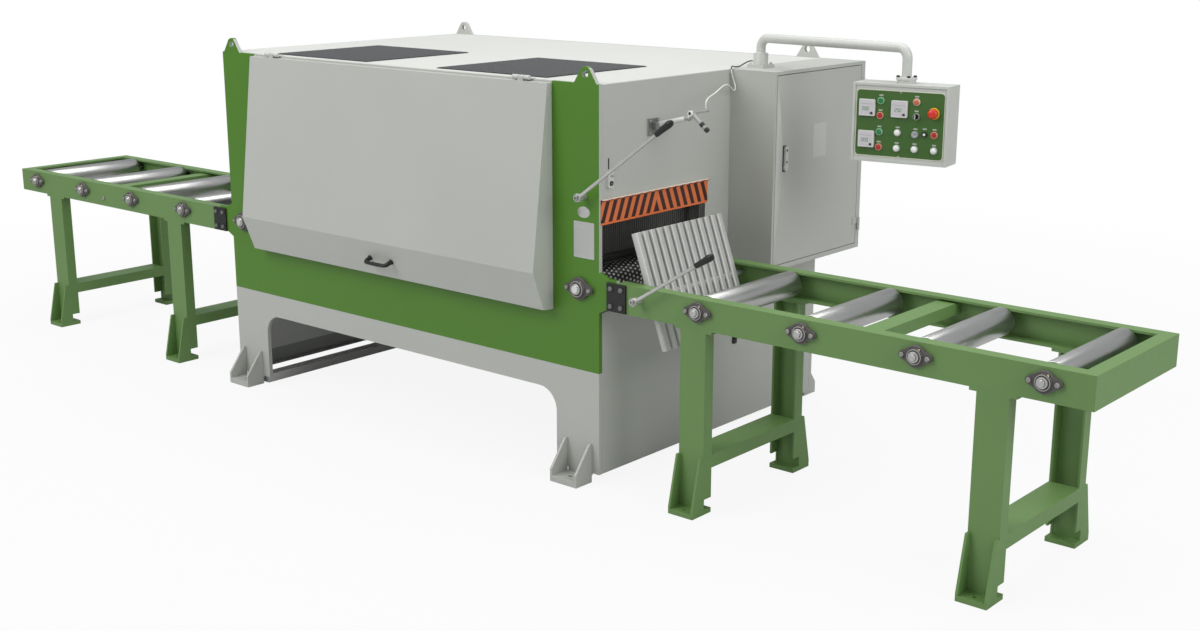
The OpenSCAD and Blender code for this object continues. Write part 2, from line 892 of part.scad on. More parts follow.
// Welded frame of one table at +X: two rails, an end beam and a cross beam
module table_frame(xs, end) {
    len = end - table_start;
    cross_x = (xs[1] + xs[2]) / 2;
    difference() {
        union() {
            plate_yz(table_start, len) translate([front_y, rail_low]) channel(rail_h);
            plate_yz(table_start, len) translate([inner_back, rail_low]) mirror([1, 0]) channel(rail_h);
            plate_xz(front_y + rail_web, table_y[1] - table_y[0] - 2 * rail_web)
                translate([end, rail_low]) mirror([1, 0]) channel(rail_h);
            block([cross_x - cross_w / 2, front_y + rail_web - cut, rail_top - cross_drop - rail_b],
                [cross_x + cross_w / 2, inner_back - rail_web + cut, rail_top - cross_drop - rail_flange]);
        }
        for (x = xs) rod_y(x, front_y - cut, roller_z, roller_shaft_r + hole_slack, body_depth);
    }
}

module table_frames() {
    color(table_green) {
        difference() {
            table_frame(infeed_xs, infeed_end);
            rod_y(lower_finger_x, front_y - cut, lower_finger_z, finger_shaft_r + run, body_depth);
        }
        mirror([1, 0, 0]) table_frame(-outfeed_xs, -outfeed_end);
    }
}

// Leg with its top plate, foot plate and gussets, at the near side
module table_leg(x) {
    low = leg_foot_t;
    high = rail_low - leg_plate_t;
    foot_y = front_y - leg_foot_reach;
    difference() {
        translate([0, 0, low]) linear_extrude(high - low)
            translate([x + rail_h / 2, front_y]) rotate(90) channel(rail_h);
        block([x - rail_h, front_y + rail_b - leg_notch_d, low - cut],
            [x + rail_h, front_y + rail_b + cut, low + leg_notch_h]);
    }
    block([x - leg_plate_w / 2, front_y, high], [x + leg_plate_w / 2, front_y + rail_b, rail_low]);
    difference() {
        block([x - rail_h / 2, foot_y, 0], [x + rail_h / 2, front_y + rail_b, low]);
        translate([x, front_y - leg_foot_reach / 2, -cut]) cylinder(h = low + 2 * cut, r = leg_hole_r);
    }
    for (gx = [x - rail_h / 2, x + rail_h / 2 - leg_gusset_t])
        plate_yz(gx, leg_gusset_t) polygon([
            [front_y + cut, low - cut], [foot_y, low - cut], [foot_y, low + leg_gusset_t],
            [front_y - 2 * leg_gusset_t, leg_gusset_h], [front_y + cut, leg_gusset_h]
        ]);
}

// Pair of legs joined by a flat stretcher
module leg_frame(x) {
    table_leg(x);
    translate([0, 2 * table_mid, 0]) mirror([0, 1, 0]) table_leg(x);
    plate_xz(front_y + rail_b - cut, table_y[1] - table_y[0] - 2 * rail_b + 2 * cut)
        translate([x - rail_h / 2, stretcher_z]) rotate(-90) channel(rail_h);
}

module table_legs() {
    color(table_green) for (x = concat(infeed_legs, outfeed_legs)) leg_frame(x);
}

// Table roller: tube with end discs on a through shaft
module table_roller(x) {
    y0 = table_mid - roller_len / 2;
    wall = 6;
    recess = 11;
    shaft_over = 36;
    color(steel) union() {
        difference() {
            rod_y(x, y0, roller_z, roller_r, roller_len);
            for (y = [y0 - cut, y0 + roller_len - recess])
                rod_y(x, y, roller_z, roller_r - wall, recess + cut);
        }
        rod_y(x, table_y[0] - shaft_over, roller_z, roller_shaft_r,
            table_y[1] - table_y[0] + 2 * shaft_over);
    }
}

module infeed_roller_1() { table_roller(infeed_xs[0]); }
module infeed_roller_2() { table_roller(infeed_xs[1]); }
module infeed_roller_3() { table_roller(infeed_xs[2]); }
module infeed_roller_4() { table_roller(infeed_xs[3]); }
module outfeed_roller_1() { table_roller(outfeed_xs[0]); }
module outfeed_roller_2() { table_roller(outfeed_xs[1]); }
module outfeed_roller_3() { table_roller(outfeed_xs[2]); }
module outfeed_roller_4() { table_roller(outfeed_xs[3]); }

// Feed roller: core with rows of spikes, shaft and chain wheel; the outer ones also carry a drive
module feed_roller(x) {
    len = tunnel_w - 2 * feed_side_gap;
    y0 = tunnel_y + feed_side_gap;
    pitch = (len - spike_w) / (spike_rows - 1);
    driven = abs(x) == feed_x_out;
    shaft_over = 38;
    hub_over = 6;
    shaft_end = sprocket_y + sprocket_t + (driven ? drive_gap + gear_d + drive_gap : hub_over);
    color(steel) union() {
        rod_y(x, y0, feed_z, feed_r - spike_h + 2, len);
        for (i = [0:spike_rows - 1])
            translate([x, y0 + i * pitch, feed_z]) rotate([-90, 0, 0]) rotate(i % 2 * 180 / spikes)
                linear_extrude(spike_w) polygon(toothed(spikes, feed_r - spike_h, feed_r, 0.3));
        rod_y(x, front_y - shaft_over, feed_z, feed_shaft_r, shaft_end - front_y + shaft_over);
        translate([x, sprocket_y, feed_z]) rotate([-90, 0, 0]) linear_extrude(sprocket_t)
            polygon(toothed(20, sprocket_r - 7, sprocket_r, 0.3));
    }
}

module feed_roller_1() { feed_roller(feed_xs[0]); }
module feed_roller_2() { feed_roller(feed_xs[1]); }
module feed_roller_3() { feed_roller(feed_xs[2]); }
module feed_roller_4() { feed_roller(feed_xs[3]); }

// Arbor with front nut, rear collar, coupling and motor shaft
module arbor(x, z) {
    nut_y = blade_first - run - spacer_len - nut_t;
    collar_y = blade_first + blades * blade_pitch - run;
    coupling_y = inner_back + coupling_in;
    end_y = inner_back + lantern_len + motor_shaft_in;
    color(steel) union() {
        rod_y(x, nut_y - stub_len, z, arbor_r, coupling_y - nut_y + stub_len + cut);
        translate([x, nut_y, z]) rotate([-90, 0, 0]) cylinder(h = nut_t, r = nut_r, $fn = 6);
        rod_y(x, collar_y, z, spacer_r, collar_t);
        rod_y(x, coupling_y, z, coupling_r, coupling_len);
        rod_y(x, coupling_y + coupling_len - cut, z, motor_shaft_r, end_y - coupling_y - coupling_len + cut);
    }
}

// Ring between two saw blades
module spacer(x, y, z) {
    translate([x, y, z]) rotate([-90, 0, 0]) linear_extrude(spacer_len) difference() {
        circle(spacer_r);
        circle(arbor_r + slip);
    }
}

// Saw blades on an arbor with a spacer before the first and behind each
module blade_set(x, z) {
    gullet = 16;
    color(pale_grey) {
        for (i = [0:blades - 1]) {
            y = blade_first + i * blade_pitch;
            translate([x, y, z]) rotate([-90, 0, 0]) linear_extrude(blade_t) difference() {
                polygon(saw_points(teeth, blade_r, blade_r - gullet));
                circle(arbor_r + slip);
            }
            spacer(x, y + blade_t + run, z);
        }
        spacer(x, blade_first - run - spacer_len, z);
    }
}

module upper_arbor() { arbor(arbor_x, upper_z); }
module upper_blades() { blade_set(arbor_x, upper_z); }
module lower_arbor() { arbor(-arbor_x, lower_z); }
module lower_blades() { blade_set(-arbor_x, lower_z); }

// Yokes that carry the press rollers on two guide rods each
module press_yokes() {
    color(grey) for (s = [-1, 1]) translate([s * press_x, 0, 0]) difference() {
        union() {
            block([-bar_w / 2, tunnel_y + press_side, bar_low], [bar_w / 2, inner_y - press_side, bar_top]);
            for (y = [tunnel_y + press_side, inner_y - press_side - cheek_t])
                block([-cheek_w / 2, y, press_z - cheek_w / 2], [cheek_w / 2, y + cheek_t, bar_top]);
            for (y = guide_rod_ys)
                translate([0, y, bar_top - cut]) cylinder(h = rod_top - bar_top + cut, r = rod_r);
        }
        rod_y(0, tunnel_y, press_z, press_shaft_r + run, tunnel_w);
    }
}

module press_roller(x) {
    y0 = tunnel_y + press_side;
    len = tunnel_w - 2 * press_side;
    side = cheek_t + 4;
    color(steel) union() {
        rod_y(x, y0 + side, press_z, press_r, len - 2 * side);
        rod_y(x, y0, press_z, press_shaft_r, len);
    }
}

module press_roller_1() { press_roller(press_x); }
module press_roller_2() { press_roller(-press_x); }

// Side view of the hood: reach and height, drawn outwards, inset by t
module hood_profile(t) {
    k = t * 1.02;
    polygon([
        [t > 0 ? -cut : 0, hood_top_z - t], [hood_top_out - k, hood_top_z - t],
        [hood_fold_out - k, hood_fold_z - 0.1 * t], [hood_low_out - 0.6 * t, hood_low_z + t],
        [t > 0 ? -cut : 0, hood_low_z - 5 + t]
    ]);
}

// Moving hinge knuckle with a leaf down to the hood's upper face
module hood_knuckle(x) {
    len = hinge_len / 3 - gap;
    difference() {
        union() {
            rod_x(x - len / 2, hinge_y, hinge_z, hinge_r, len);
            block([x - len / 2, hinge_y - hinge_r, hood_top_z - cut],
                [x + len / 2, hinge_y - hinge_r + hinge_leaf, hinge_z]);
        }
        rod_x(x - len, hinge_y, hinge_z, hinge_pin_r + run, 2 * len);
    }
}

// Bow handle on the hood's lower face
module hood_handle() {
    lean = atan((hood_fold_out - hood_low_out) / (hood_fold_z - hood_low_z));
    mid_z = (hood_fold_z + hood_low_z) / 2;
    mid_out = (hood_fold_out + hood_low_out) / 2;
    color(black) translate([handle_x, front_y - mid_out, mid_z]) rotate([90 + lean, 0, 0]) {
        for (s = [-1, 1]) {
            translate([s * handle_span / 2, 0, 0]) cylinder(h = handle_out, r = handle_r);
            translate([s * handle_span / 2, 0, 0]) cylinder(h = 4, r = 2 * handle_r);
            translate([s * handle_span / 2, 0, handle_out]) sphere(handle_r);
        }
        translate([-handle_span / 2, 0, handle_out]) rotate([0, 90, 0])
            cylinder(h = handle_span, r = handle_r);
    }
}

module hood() {
    color(pale_grey) union() {
        translate([-hood_half, front_y, 0]) mirror([0, 1, 0]) rotate([90, 0, 90]) difference() {
            linear_extrude(2 * hood_half) hood_profile(0);
            translate([0, 0, hood_t]) linear_extrude(2 * (hood_half - hood_t)) hood_profile(hood_t);
        }
        for (s = [-1, 1]) hood_knuckle(s * hinge_x);
    }
}

// Fixed knuckles, leaves and pins of the hood's two hinges
module hood_hinges() {
    len = hinge_len / 3;
    color(grey) for (s = [-1, 1]) {
        for (e = [-1, 1]) {
            x0 = s * hinge_x + e * len - len / 2;
            rod_x(x0, hinge_y, hinge_z, hinge_r, len);
            block([x0, hinge_y, top_z], [x0 + len, front_y + plate_t, top_z + hinge_leaf]);
        }
        rod_x(s * hinge_x - hinge_len / 2, hinge_y, hinge_z, hinge_pin_r, hinge_len);
    }
}

// One door hinge: the lower knuckle and pin stay, the upper knuckle turns with the door
module door_hinge(z, moving) {
    half = door_hinge_len / 2;
    z0 = moving ? z + 0.2 : z - half;
    leaf_y = moving ? [door_y1 - 30, door_axis_y] : [door_axis_y, rear_y - 4];
    len = moving ? half - 0.2 : half;
    difference() {
        union() {
            translate([door_axis_x, door_axis_y, z0]) cylinder(h = len, r = door_hinge_r);
            block([cab_x, leaf_y[0], z0], [cab_x + 3, leaf_y[1], z0 + len]);
        }
        if (moving)
            translate([door_axis_x, door_axis_y, z0 - cut])
                cylinder(h = len + 2 * cut, r = door_pin_r + run);
    }
    if (!moving)
        translate([door_axis_x, door_axis_y, z0]) cylinder(h = door_hinge_len, r = door_pin_r);
}

module cabinet() {
    color(grey) union() {
        difference() {
            block([hx, cab_y, cab_low], [cab_x, rear_y, top_z]);
            block([hx + cab_t, cab_y + cab_t, cab_low + cab_t],
                [cab_x - door_t - cab_t, rear_y - cab_t, top_z - cab_t]);
            block([cab_x - door_t - 2 * cab_t, door_y0 - door_gap, door_z0 - door_gap],
                [cab_x + cut, door_y1 + door_gap, door_z1 + door_gap]);
        }
        for (z = [door_z0 + door_hinge_in, door_z1 - door_hinge_in]) door_hinge(z, false);
    }
}

module electrical_plate() {
    x0 = hx + cab_t;
    t = 3;
    inset = 40;
    rows = 4;
    columns = 5;
    row_h = (top_z - cab_low - 4 * inset) / rows;
    column_w = (cab_w - 4 * inset) / columns;
    device_d = 75;
    color(pale_grey) block([x0, cab_y + inset, cab_low + inset], [x0 + t, rear_y - inset, top_z - inset]);
    color(iron) for (i = [0:rows - 1], j = [0:columns - 1])
        translate([x0 + t, cab_y + 2 * inset + j * column_w, cab_low + 2 * inset + i * row_h])
            cube([device_d, 0.72 * column_w, 0.6 * row_h]);
}

module cabinet_door() {
    skin = 2;
    color(grey) union() {
        difference() {
            block([cab_x - door_t, door_y0, door_z0], [cab_x, door_y1, door_z1]);
            block([cab_x - door_t - cut, door_y0 + cab_flat, door_z0 + cab_flat],
                [cab_x - skin, door_y1 - cab_flat, door_z1 - cab_flat]);
            rod_x(cab_x - door_t, lock_y, lock_z, 8 + run, 2 * door_t);
        }
        for (z = [door_z0 + door_hinge_in, door_z1 - door_hinge_in]) door_hinge(z, true);
    }
}

// Swing handle that turns on a spindle through the door
module door_handle() {
    color(black) union() {
        rod_x(cab_x - door_t, lock_y, lock_z, 8, door_t + 6);
        rod_x(cab_x + gap, lock_y, lock_z, 13, 9);
        block([cab_x + gap, lock_y - 10, lock_z], [cab_x + 12, lock_y + 10, lock_z + lock_len]);
        block([cab_x - door_t, lock_y - 8, lock_z - 8], [cab_x - door_t + 4, lock_y + 8, lock_z + 8]);
    }
}

module arm_collar() {
    plate_s = 85;
    color(grey) difference() {
        union() {
            translate([post_x - plate_s / 2, post_y - plate_s / 2, top_z]) cube([plate_s, plate_s, 12]);
            translate([post_x, post_y, top_z]) cylinder(h = collar_h, r = collar_r);
            rod_x(post_x - collar_r - 4, post_y - 4, top_z + 25, 7, 12);
            for (sx = [-1, 1], sy = [-1, 1])
                translate([post_x + sx * 32, post_y + sy * 32, top_z + 11]) cylinder(h = 9, r = 7, $fn = 6);
        }
        translate([post_x, post_y, top_z + 12]) cylinder(h = collar_h, r = arm_r + run);
    }
}

// Quarter bend in the XZ plane from upright at the origin to level along +X
module tube_bend() {
    translate([arm_bend, 0, 0]) rotate([90, 0, 0]) rotate([0, 0, 90]) rotate_extrude(angle = 90)
        translate([arm_bend, 0]) circle(arm_r);
}

module control_arm() {
    base = top_z + 12 + gap;
    flange_r = 42;
    low = box_top + box_flange_h;
    color(grey) translate([post_x, post_y, 0]) rotate(arm_turn) difference() {
        union() {
            translate([0, 0, base]) cylinder(h = arm_z - arm_bend - base, r = arm_r);
            translate([0, 0, arm_z - arm_bend]) tube_bend();
            translate([arm_bend, 0, arm_z]) rotate([0, 90, 0])
                cylinder(h = arm_len - 2 * arm_bend, r = arm_r);
            translate([arm_len, 0, arm_z - arm_bend]) mirror([1, 0, 0]) tube_bend();
            translate([arm_len, 0, low]) cylinder(h = arm_z - arm_bend - low, r = arm_r);
            translate([arm_len, 0, low]) cylinder(h = arm_flange_h, r = flange_r);
        }
        translate([arm_len, 0, low - cut]) cylinder(h = swivel_h + 2 * cut, r = swivel_r + run);
    }
}

// Places the children in the control box's own frame: origin at its pivot, front towards -Y
module on_box() {
    translate([box_x, box_y, 0]) rotate(box_turn) children();
}

// Places the children on the control plate, with +Z out of the plate
module on_face(at) {
    on_box() translate([(at[0] - 0.5) * face_w, -box_d / 2 + box_rim, face_z + (0.5 - at[1]) * face_h])
        rotate([90, 0, 0]) children();
}

// Rectangle with round corners, centred
module rounded(w, h, r) {
    square([w - 2 * r, h], center = true);
    square([w, h - 2 * r], center = true);
    for (sx = [-1, 1], sy = [-1, 1]) translate([sx * (w / 2 - r), sy * (h / 2 - r)]) circle(r);
}

// Extrudes an outline on the box's front, from a depth behind the front face
module on_front(depth, t) {
    plate_xz(-box_d / 2 + depth, t) translate([0, face_z]) children();
}

module control_box() {
    ledge = 8;
    rim_w = 10;
    rim_step = 1;
    color(pale_grey) on_box() union() {
        difference() {
            block([-box_w / 2, -box_d / 2, box_top - box_h], [box_w / 2, box_d / 2, box_top]);
            on_front(-cut, box_rim + rim_step + cut) translate([0, box_top - box_h / 2 - face_z])
                square([box_w - 2 * rim_w, box_h - 2 * rim_w], center = true);
            on_front(-cut, box_rim + face_t + cut)
                rounded(face_w + 2 * slip, face_h + 2 * slip, face_r + slip);
            on_front(0, box_d - box_t) square([face_w - 2 * ledge, face_h - 2 * ledge], center = true);
        }
        translate([0, 0, box_top]) cylinder(h = box_flange_h, r = 38);
        translate([0, 0, box_top]) cylinder(h = box_flange_h + swivel_h, r = swivel_r);
    }
}

module bezel() {
    difference() {
        cylinder(h = bezel_h, r = bezel_r);
        translate([0, 0, -cut]) cylinder(h = bezel_h + 2 * cut, r = button_r + slip);
    }
}

module lamp() {
    cylinder(h = 4, r = bezel_r - 1);
    translate([0, 0, 4 - cut]) cylinder(h = 6, r1 = bezel_r - 2, r2 = bezel_r - 6);
}

// Control plate with meters, lamps, bezels and the key switch fixed on it
module control_plate() {
    pushed = concat(start_at, stop_at);
    notch_r = 6;
    color(panel_green) difference() {
        on_box() on_front(box_rim, face_t) difference() {
            rounded(face_w, face_h, face_r);
            for (s = [-1, 1]) translate([0, s * face_h / 2]) circle(notch_r);
        }
        for (at = concat(pushed, [selector_at, estop_at]))
            on_face(at) translate([0, 0, -face_t - cut]) cylinder(h = face_t + 2 * cut, r = stem_r + run);
    }
    color(pale_grey) {
        for (at = meters_at)
            on_face(at) translate([-meter_side / 2, -meter_side / 2, 0])
                cube([meter_side, meter_side, meter_h]);
        for (at = lamps_at) on_face(at) lamp();
        for (at = concat(pushed, [selector_at])) on_face(at) bezel();
        on_face(ring_at) lamp();
        on_face(key_at) cylinder(h = 8, r = bezel_r);
        on_face(jack_at) cylinder(h = 6, r = button_r);
    }
}

// Push button: stem through the plate, cap inside its bezel
module push_button(at, tone) {
    behind = 16;
    color(tone) on_face(at) union() {
        translate([0, 0, -face_t - behind]) cylinder(h = behind + face_t + 5, r = stem_r);
        translate([0, 0, 4.6]) cylinder(h = button_out - 4.6, r = button_r);
        translate([0, 0, -face_t - behind]) cylinder(h = 3, r = stem_r + 3);
    }
}

module start_button_1() { push_button(start_at[0], green); }
module start_button_2() { push_button(start_at[1], green); }
module stop_button_1() { push_button(stop_at[0], red); }
module stop_button_2() { push_button(stop_at[1], red); }
module stop_button_3() { push_button(stop_at[2], red); }

module estop_button() {
    behind = 18;
    color(red) on_face(estop_at) union() {
        translate([0, 0, -face_t - behind]) cylinder(h = behind + face_t + 16, r = stem_r);
        translate([0, 0, -face_t - behind]) cylinder(h = 3, r = stem_r + 3);
        translate([0, 0, 9]) rotate_extrude() polygon([[0, 0], [12, 0], [estop_r, 5], [estop_r, 11],
            [estop_r - 3, 15], [estop_r - 9, 17.5], [0, 18.5]]);
    }
}

module selector() {
    behind = 16;
    color(black) on_face(selector_at) union() {
        translate([0, 0, -face_t - behind]) cylinder(h = behind + face_t + 2, r = stem_r);
        translate([0, 0, 1]) cylinder(h = 7, r = button_r);
        translate([-4, -button_r + 1, 7]) cube([8, 2 * button_r - 2, 11]);
    }
}

// Lever on a finger shaft: eye, rod and grip, drawn level along +X from the shaft
module lever(len) {
    color(steel) union() {
        rotate([-90, 0, 0]) translate([0, 0, -eye_t]) cylinder(h = eye_t, r = eye_r);
        translate([eye_r - 3, -eye_t / 2, 0]) rotate([0, 90, 0]) cylinder(h = len - eye_r - 8, r = lever_r);
    }
    color(black) translate([len - grip_len, -eye_t / 2, 0]) rotate([0, 90, 0]) rotate_extrude()
        polygon([[0, 0], [grip_r - 4, 0], [grip_r, grip_len * 0.75], [grip_r - 3, grip_len * 0.95],
            [lever_r, grip_len], [0, grip_len]]);
}

module upper_lever() {
    y0 = front_y - lever_out;
    translate([upper_finger_x, y0 + eye_t, upper_finger_z]) rotate([0, -upper_lever_rise, 0])
        lever(upper_lever_len);
    color(steel) rod_y(upper_finger_x, y0 + eye_t - cut, upper_finger_z, finger_shaft_r,
        inner_back + shaft_over - y0 - eye_t + cut);
}

module upper_fingers() {
    w = 34;
    tip = 12;
    tip_w = 20;
    color(iron) for (i = [0:upper_fingers_n - 1])
        plate_xz(finger_y0 + i * finger_pitch, finger_t) translate([upper_finger_x, upper_finger_z])
            difference() {
                union() {
                    circle(w / 2 + 4);
                    translate([-w / 2, -upper_finger_len + tip]) square([w, upper_finger_len - tip]);
                    polygon([[-w / 2, -upper_finger_len + tip], [w / 2 - tip_w, -upper_finger_len],
                        [w / 2, -upper_finger_len + tip]]);
                }
                circle(finger_shaft_r + slip);
            }
}

module lower_lever() {
    y0 = front_y - lower_lever_out;
    translate([lower_finger_x, y0 + eye_t, lower_finger_z]) rotate([0, -lower_lever_rise, 0])
        lever(lower_lever_len);
    color(steel) rod_y(lower_finger_x, y0 + eye_t - cut, lower_finger_z, finger_shaft_r,
        inner_back + shaft_over - y0 - eye_t + cut);
}

module lower_fingers() {
    color(steel) for (i = [0:lower_fingers_n - 1])
        plate_xz(lower_y0 + (i + 0.5) * lower_pitch - lower_w / 2, lower_w)
            translate([lower_finger_x, lower_finger_z]) rotate(lower_finger_lean) difference() {
                translate([-lower_t / 2, -lower_finger_down])
                    square([lower_t, lower_finger_up + lower_finger_down]);
                circle(finger_shaft_r + slip);
            }
}

module mouth_guard() {
    lip = 18;
    y0 = front_y + plate_t / 2;
    y1 = inner_back + 2 * mouth_side;
    color(orange) {
        block([hx, y0, guard_top - guard_h], [hx + guard_t, y1, guard_top]);
        block([hx + guard_t - cut, y0, guard_top - guard_t], [hx + lip, y1, guard_top]);
    }
}

// Laser pointer: bolted plate, rising rod, clamp, pointer tube and cross bar with the cord's gland
module laser_pointer() {
    base_t = 8;
    bolt_at = 25;
    bolt_r = 4;
    stay_r = 7.5;
    stay_side = 7;
    stay_rise = 5;
    ring_r = 12;
    ring_h = 12;
    link_r = 9;
    clamp_r = 11.5;
    clamp_len = 30;
    bore_r = 4;
    bore_len = 10;
    tube_r = 10;
    tube_len = 102;
    tube_fall = 39.3;
    bar_r = 5;
    bar_over = 19;
    gland_r = 7;
    root = [hx + base_t / 2, laser_y + stay_side, laser_z + stay_rise];
    tip = root + laser_rod * [cos(laser_rise) * cos(laser_swing), cos(laser_rise) * sin(laser_swing),
        sin(laser_rise)];
    head = [cord_start[0], tip[1], cord_start[2] - gland_h];
    link = head - tip;
    color(steel) difference() {
        union() {
            translate([hx, laser_y, laser_z])
                block([0, -laser_plate / 2, -laser_plate / 2], [base_t, laser_plate / 2, laser_plate / 2]);
            translate(root) rotate([0, 0, laser_swing]) rotate([0, 90 - laser_rise, 0]) {
                cylinder(h = laser_rod, r = stay_r);
                translate([0, 0, laser_rod - ring_h]) cylinder(h = ring_h, r = ring_r);
            }
            translate(tip) rotate([0, atan2(link[0], link[2]), 0]) cylinder(h = norm(link), r = link_r);
            rod_y(head[0], head[1] - clamp_len / 2, head[2], clamp_r, clamp_len);
            translate(head) rotate([0, 90 + tube_fall, 0]) cylinder(h = tube_len, r = tube_r);
            rod_y(head[0], head[1], head[2], bar_r, cord_start[1] - head[1] + bar_over);
            translate([cord_start[0], cord_start[1], head[2]]) cylinder(h = gland_h, r = gland_r);
        }
        for (sy = [-1, 1], sz = [-1, 1])
            translate([hx - cut, laser_y + sy * bolt_at, laser_z + sz * bolt_at]) rotate([0, 90, 0])
                cylinder(h = base_t + 2 * cut, r = bolt_r);
        rod_y(head[0], head[1] - clamp_len / 2 - cut, head[2], bore_r, bore_len + cut);
    }
}

// Sweep of a round section along points: ring i stands square to the path there
function unit(v) = v / norm(v);
function path_dir(p, i) = unit(p[min(i + 1, len(p) - 1)] - p[max(i - 1, 0)]);
function path_side(d) = unit(cross(d, abs(d[2]) > 0.9 ? [1, 0, 0] : [0, 0, 1]));
function smooth_at(p, i, t) =
    let (a = p[max(i - 1, 0)], b = p[i], c = p[i + 1], d = p[min(i + 2, len(p) - 1)])
    0.5 * (2 * b + (c - a) * t + (2 * a - 5 * b + 4 * c - d) * t * t + (3 * b - a - 3 * c + d) * t * t * t);
function smooth_path(p, n) = [for (i = [0:len(p) - 2], k = [0:n - 1]) smooth_at(p, i, k / n), p[len(p) - 1]];

module swept_tube(p, r, sides) {
    n = len(p);
    rings = [for (i = [0:n - 1]) let (d = path_dir(p, i), u = path_side(d), v = cross(u, d))
        for (k = [0:sides - 1]) p[i] + r * (cos(360 * k / sides) * u + sin(360 * k / sides) * v)];
    walls = [for (i = [0:n - 2], k = [0:sides - 1]) let (a = i * sides + k, b = i * sides + (k + 1) % sides)
        each [[a, b, b + sides], [a, b + sides, a + sides]]];
    caps = [[for (k = [sides - 1:-1:0]) k], [for (k = [0:sides - 1]) (n - 1) * sides + k]];
    polyhedron(rings, concat(walls, caps));
}

module laser_cord() {
    color(pale_grey) swept_tube(smooth_path(cord_pts, 3), cord_r, 8);
}

front_plate();
inner_plate();
rear_plate();
end_panels();
top_cover();
vent_grilles();
machine_feet();
feed_bed();
arbor_housings();
main_motors();
feed_drives();
flange_bearings();
guide_beams();
splice_plates();
table_frames();
table_legs();
hood_hinges();
cabinet();
electrical_plate();
arm_collar();
mouth_guard();
laser_pointer();
laser_cord();
infeed_roller_1();
infeed_roller_2();
infeed_roller_3();
infeed_roller_4();
outfeed_roller_1();
outfeed_roller_2();
outfeed_roller_3();
outfeed_roller_4();
feed_roller_1();
feed_roller_2();
feed_roller_3();
feed_roller_4();
upper_arbor();
upper_blades();
lower_arbor();
lower_blades();
press_yokes();
press_roller_1();
press_roller_2();
hood();
hood_handle();
cabinet_door();
door_handle();
control_arm();
control_box();
control_plate();
estop_button();
start_button_1();
start_button_2();
stop_button_1();
stop_button_2();
stop_button_3();
selector();
upper_lever();
upper_fingers();
lower_lever();
lower_fingers();
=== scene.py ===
"""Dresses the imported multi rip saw: finishes for every part, small fittings, stage, lights and camera.
Sizes of fittings are in millimetres, places in metres."""
from collections import namedtuple
import json
import math

import bmesh
import bpy
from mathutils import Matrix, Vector
import numpy as np


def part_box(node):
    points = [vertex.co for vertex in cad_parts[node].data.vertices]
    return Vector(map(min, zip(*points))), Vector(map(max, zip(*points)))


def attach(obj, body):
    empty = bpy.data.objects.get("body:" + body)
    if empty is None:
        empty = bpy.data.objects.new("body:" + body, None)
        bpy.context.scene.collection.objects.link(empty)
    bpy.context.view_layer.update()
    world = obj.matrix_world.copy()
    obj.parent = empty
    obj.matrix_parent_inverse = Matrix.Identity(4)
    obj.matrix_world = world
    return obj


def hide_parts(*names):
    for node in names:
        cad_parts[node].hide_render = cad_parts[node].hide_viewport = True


bl_info = {
    "name": "Multi rip saw",
    "version": (1, 0, 0),
    "blender": (4, 5, 0),
    "location": "View3D > Sidebar > Rip saw",
    "description": "Finishes and fittings of a multi rip saw with roller tables",
    "category": "Object",
}

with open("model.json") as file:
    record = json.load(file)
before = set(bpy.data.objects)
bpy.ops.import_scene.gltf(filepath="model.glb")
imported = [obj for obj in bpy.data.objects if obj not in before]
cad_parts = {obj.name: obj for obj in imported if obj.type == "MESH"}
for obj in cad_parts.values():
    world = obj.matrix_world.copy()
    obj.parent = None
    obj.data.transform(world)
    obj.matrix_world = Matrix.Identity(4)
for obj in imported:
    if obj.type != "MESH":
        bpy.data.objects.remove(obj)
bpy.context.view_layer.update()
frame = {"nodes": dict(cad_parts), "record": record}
NODES = frame["nodes"]
JOINTS = {j["name"]: j for j in frame["record"]["behaviour"]["joints"]}

MM = 0.001
UP = np.array([0.0, 0.0, 1.0])
EAST = np.array([1.0, 0.0, 0.0])
NORTH = np.array([0.0, 1.0, 0.0])
LEVEL = EAST + NORTH


# Sizes read from the frame

def low(node):
    """Lowest corner of a CAD node."""
    return np.array(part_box(node)[0])


def high(node):
    """Highest corner of a CAD node."""
    return np.array(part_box(node)[1])


def pivot(joint):
    """Place of a joint at rest."""
    return np.array(JOINTS[joint]["pos_m"], float)


FRONT_Y = low("front_plate")[1]
END_X = high("end_panels")[0]
ROOF_Z = high("top_cover")[2]
DOOR_X = low("cabinet_door")[0] + 20 * MM
RAIL_FAR_Y = high("table_frames")[1]
RAIL_SIDES = ((FRONT_Y, -1), (RAIL_FAR_Y, 1))


# Meshes from arrays

LEAST_CORNER = 0.05


def sheet_of(points, wrap_u=False, wrap_v=False):
    """Part (vertices, faces) from a grid of points P(u, v), joined at the ends where it wraps."""
    nu, nv = points.shape[:2]
    rows, columns = np.arange(nu if wrap_u else nu - 1), np.arange(nv if wrap_v else nv - 1)
    i, j = np.meshgrid(rows, columns, indexing="ij")
    down, right = (i + 1) % nu, (j + 1) % nv
    faces = np.stack([i * nv + j, down * nv + j, down * nv + right, i * nv + right], -1)
    return points.reshape(-1, 3), faces.reshape(-1, 4)


def turned(profile, centre, axis, sides=32):
    """Surface of revolution from profile rows (r, h) in millimetres:
    P(u, t) = centre + h(u) axis + r(u) (cos t e1 + sin t e2)."""
    axis = np.asarray(axis, float) / np.linalg.norm(axis)
    side = np.cross(axis, UP if abs(axis[2]) < 0.9 else EAST)
    e1 = side / np.linalg.norm(side)
    e2 = np.cross(axis, e1)
    t = np.linspace(0, 2 * np.pi, sides, endpoint=False)
    r, h = np.asarray(profile, float).T[:, :, None, None] * MM
    ring = np.cos(t)[:, None] * e1 + np.sin(t)[:, None] * e2
    return sheet_of(np.asarray(centre) + h * axis + r * ring, wrap_v=True)


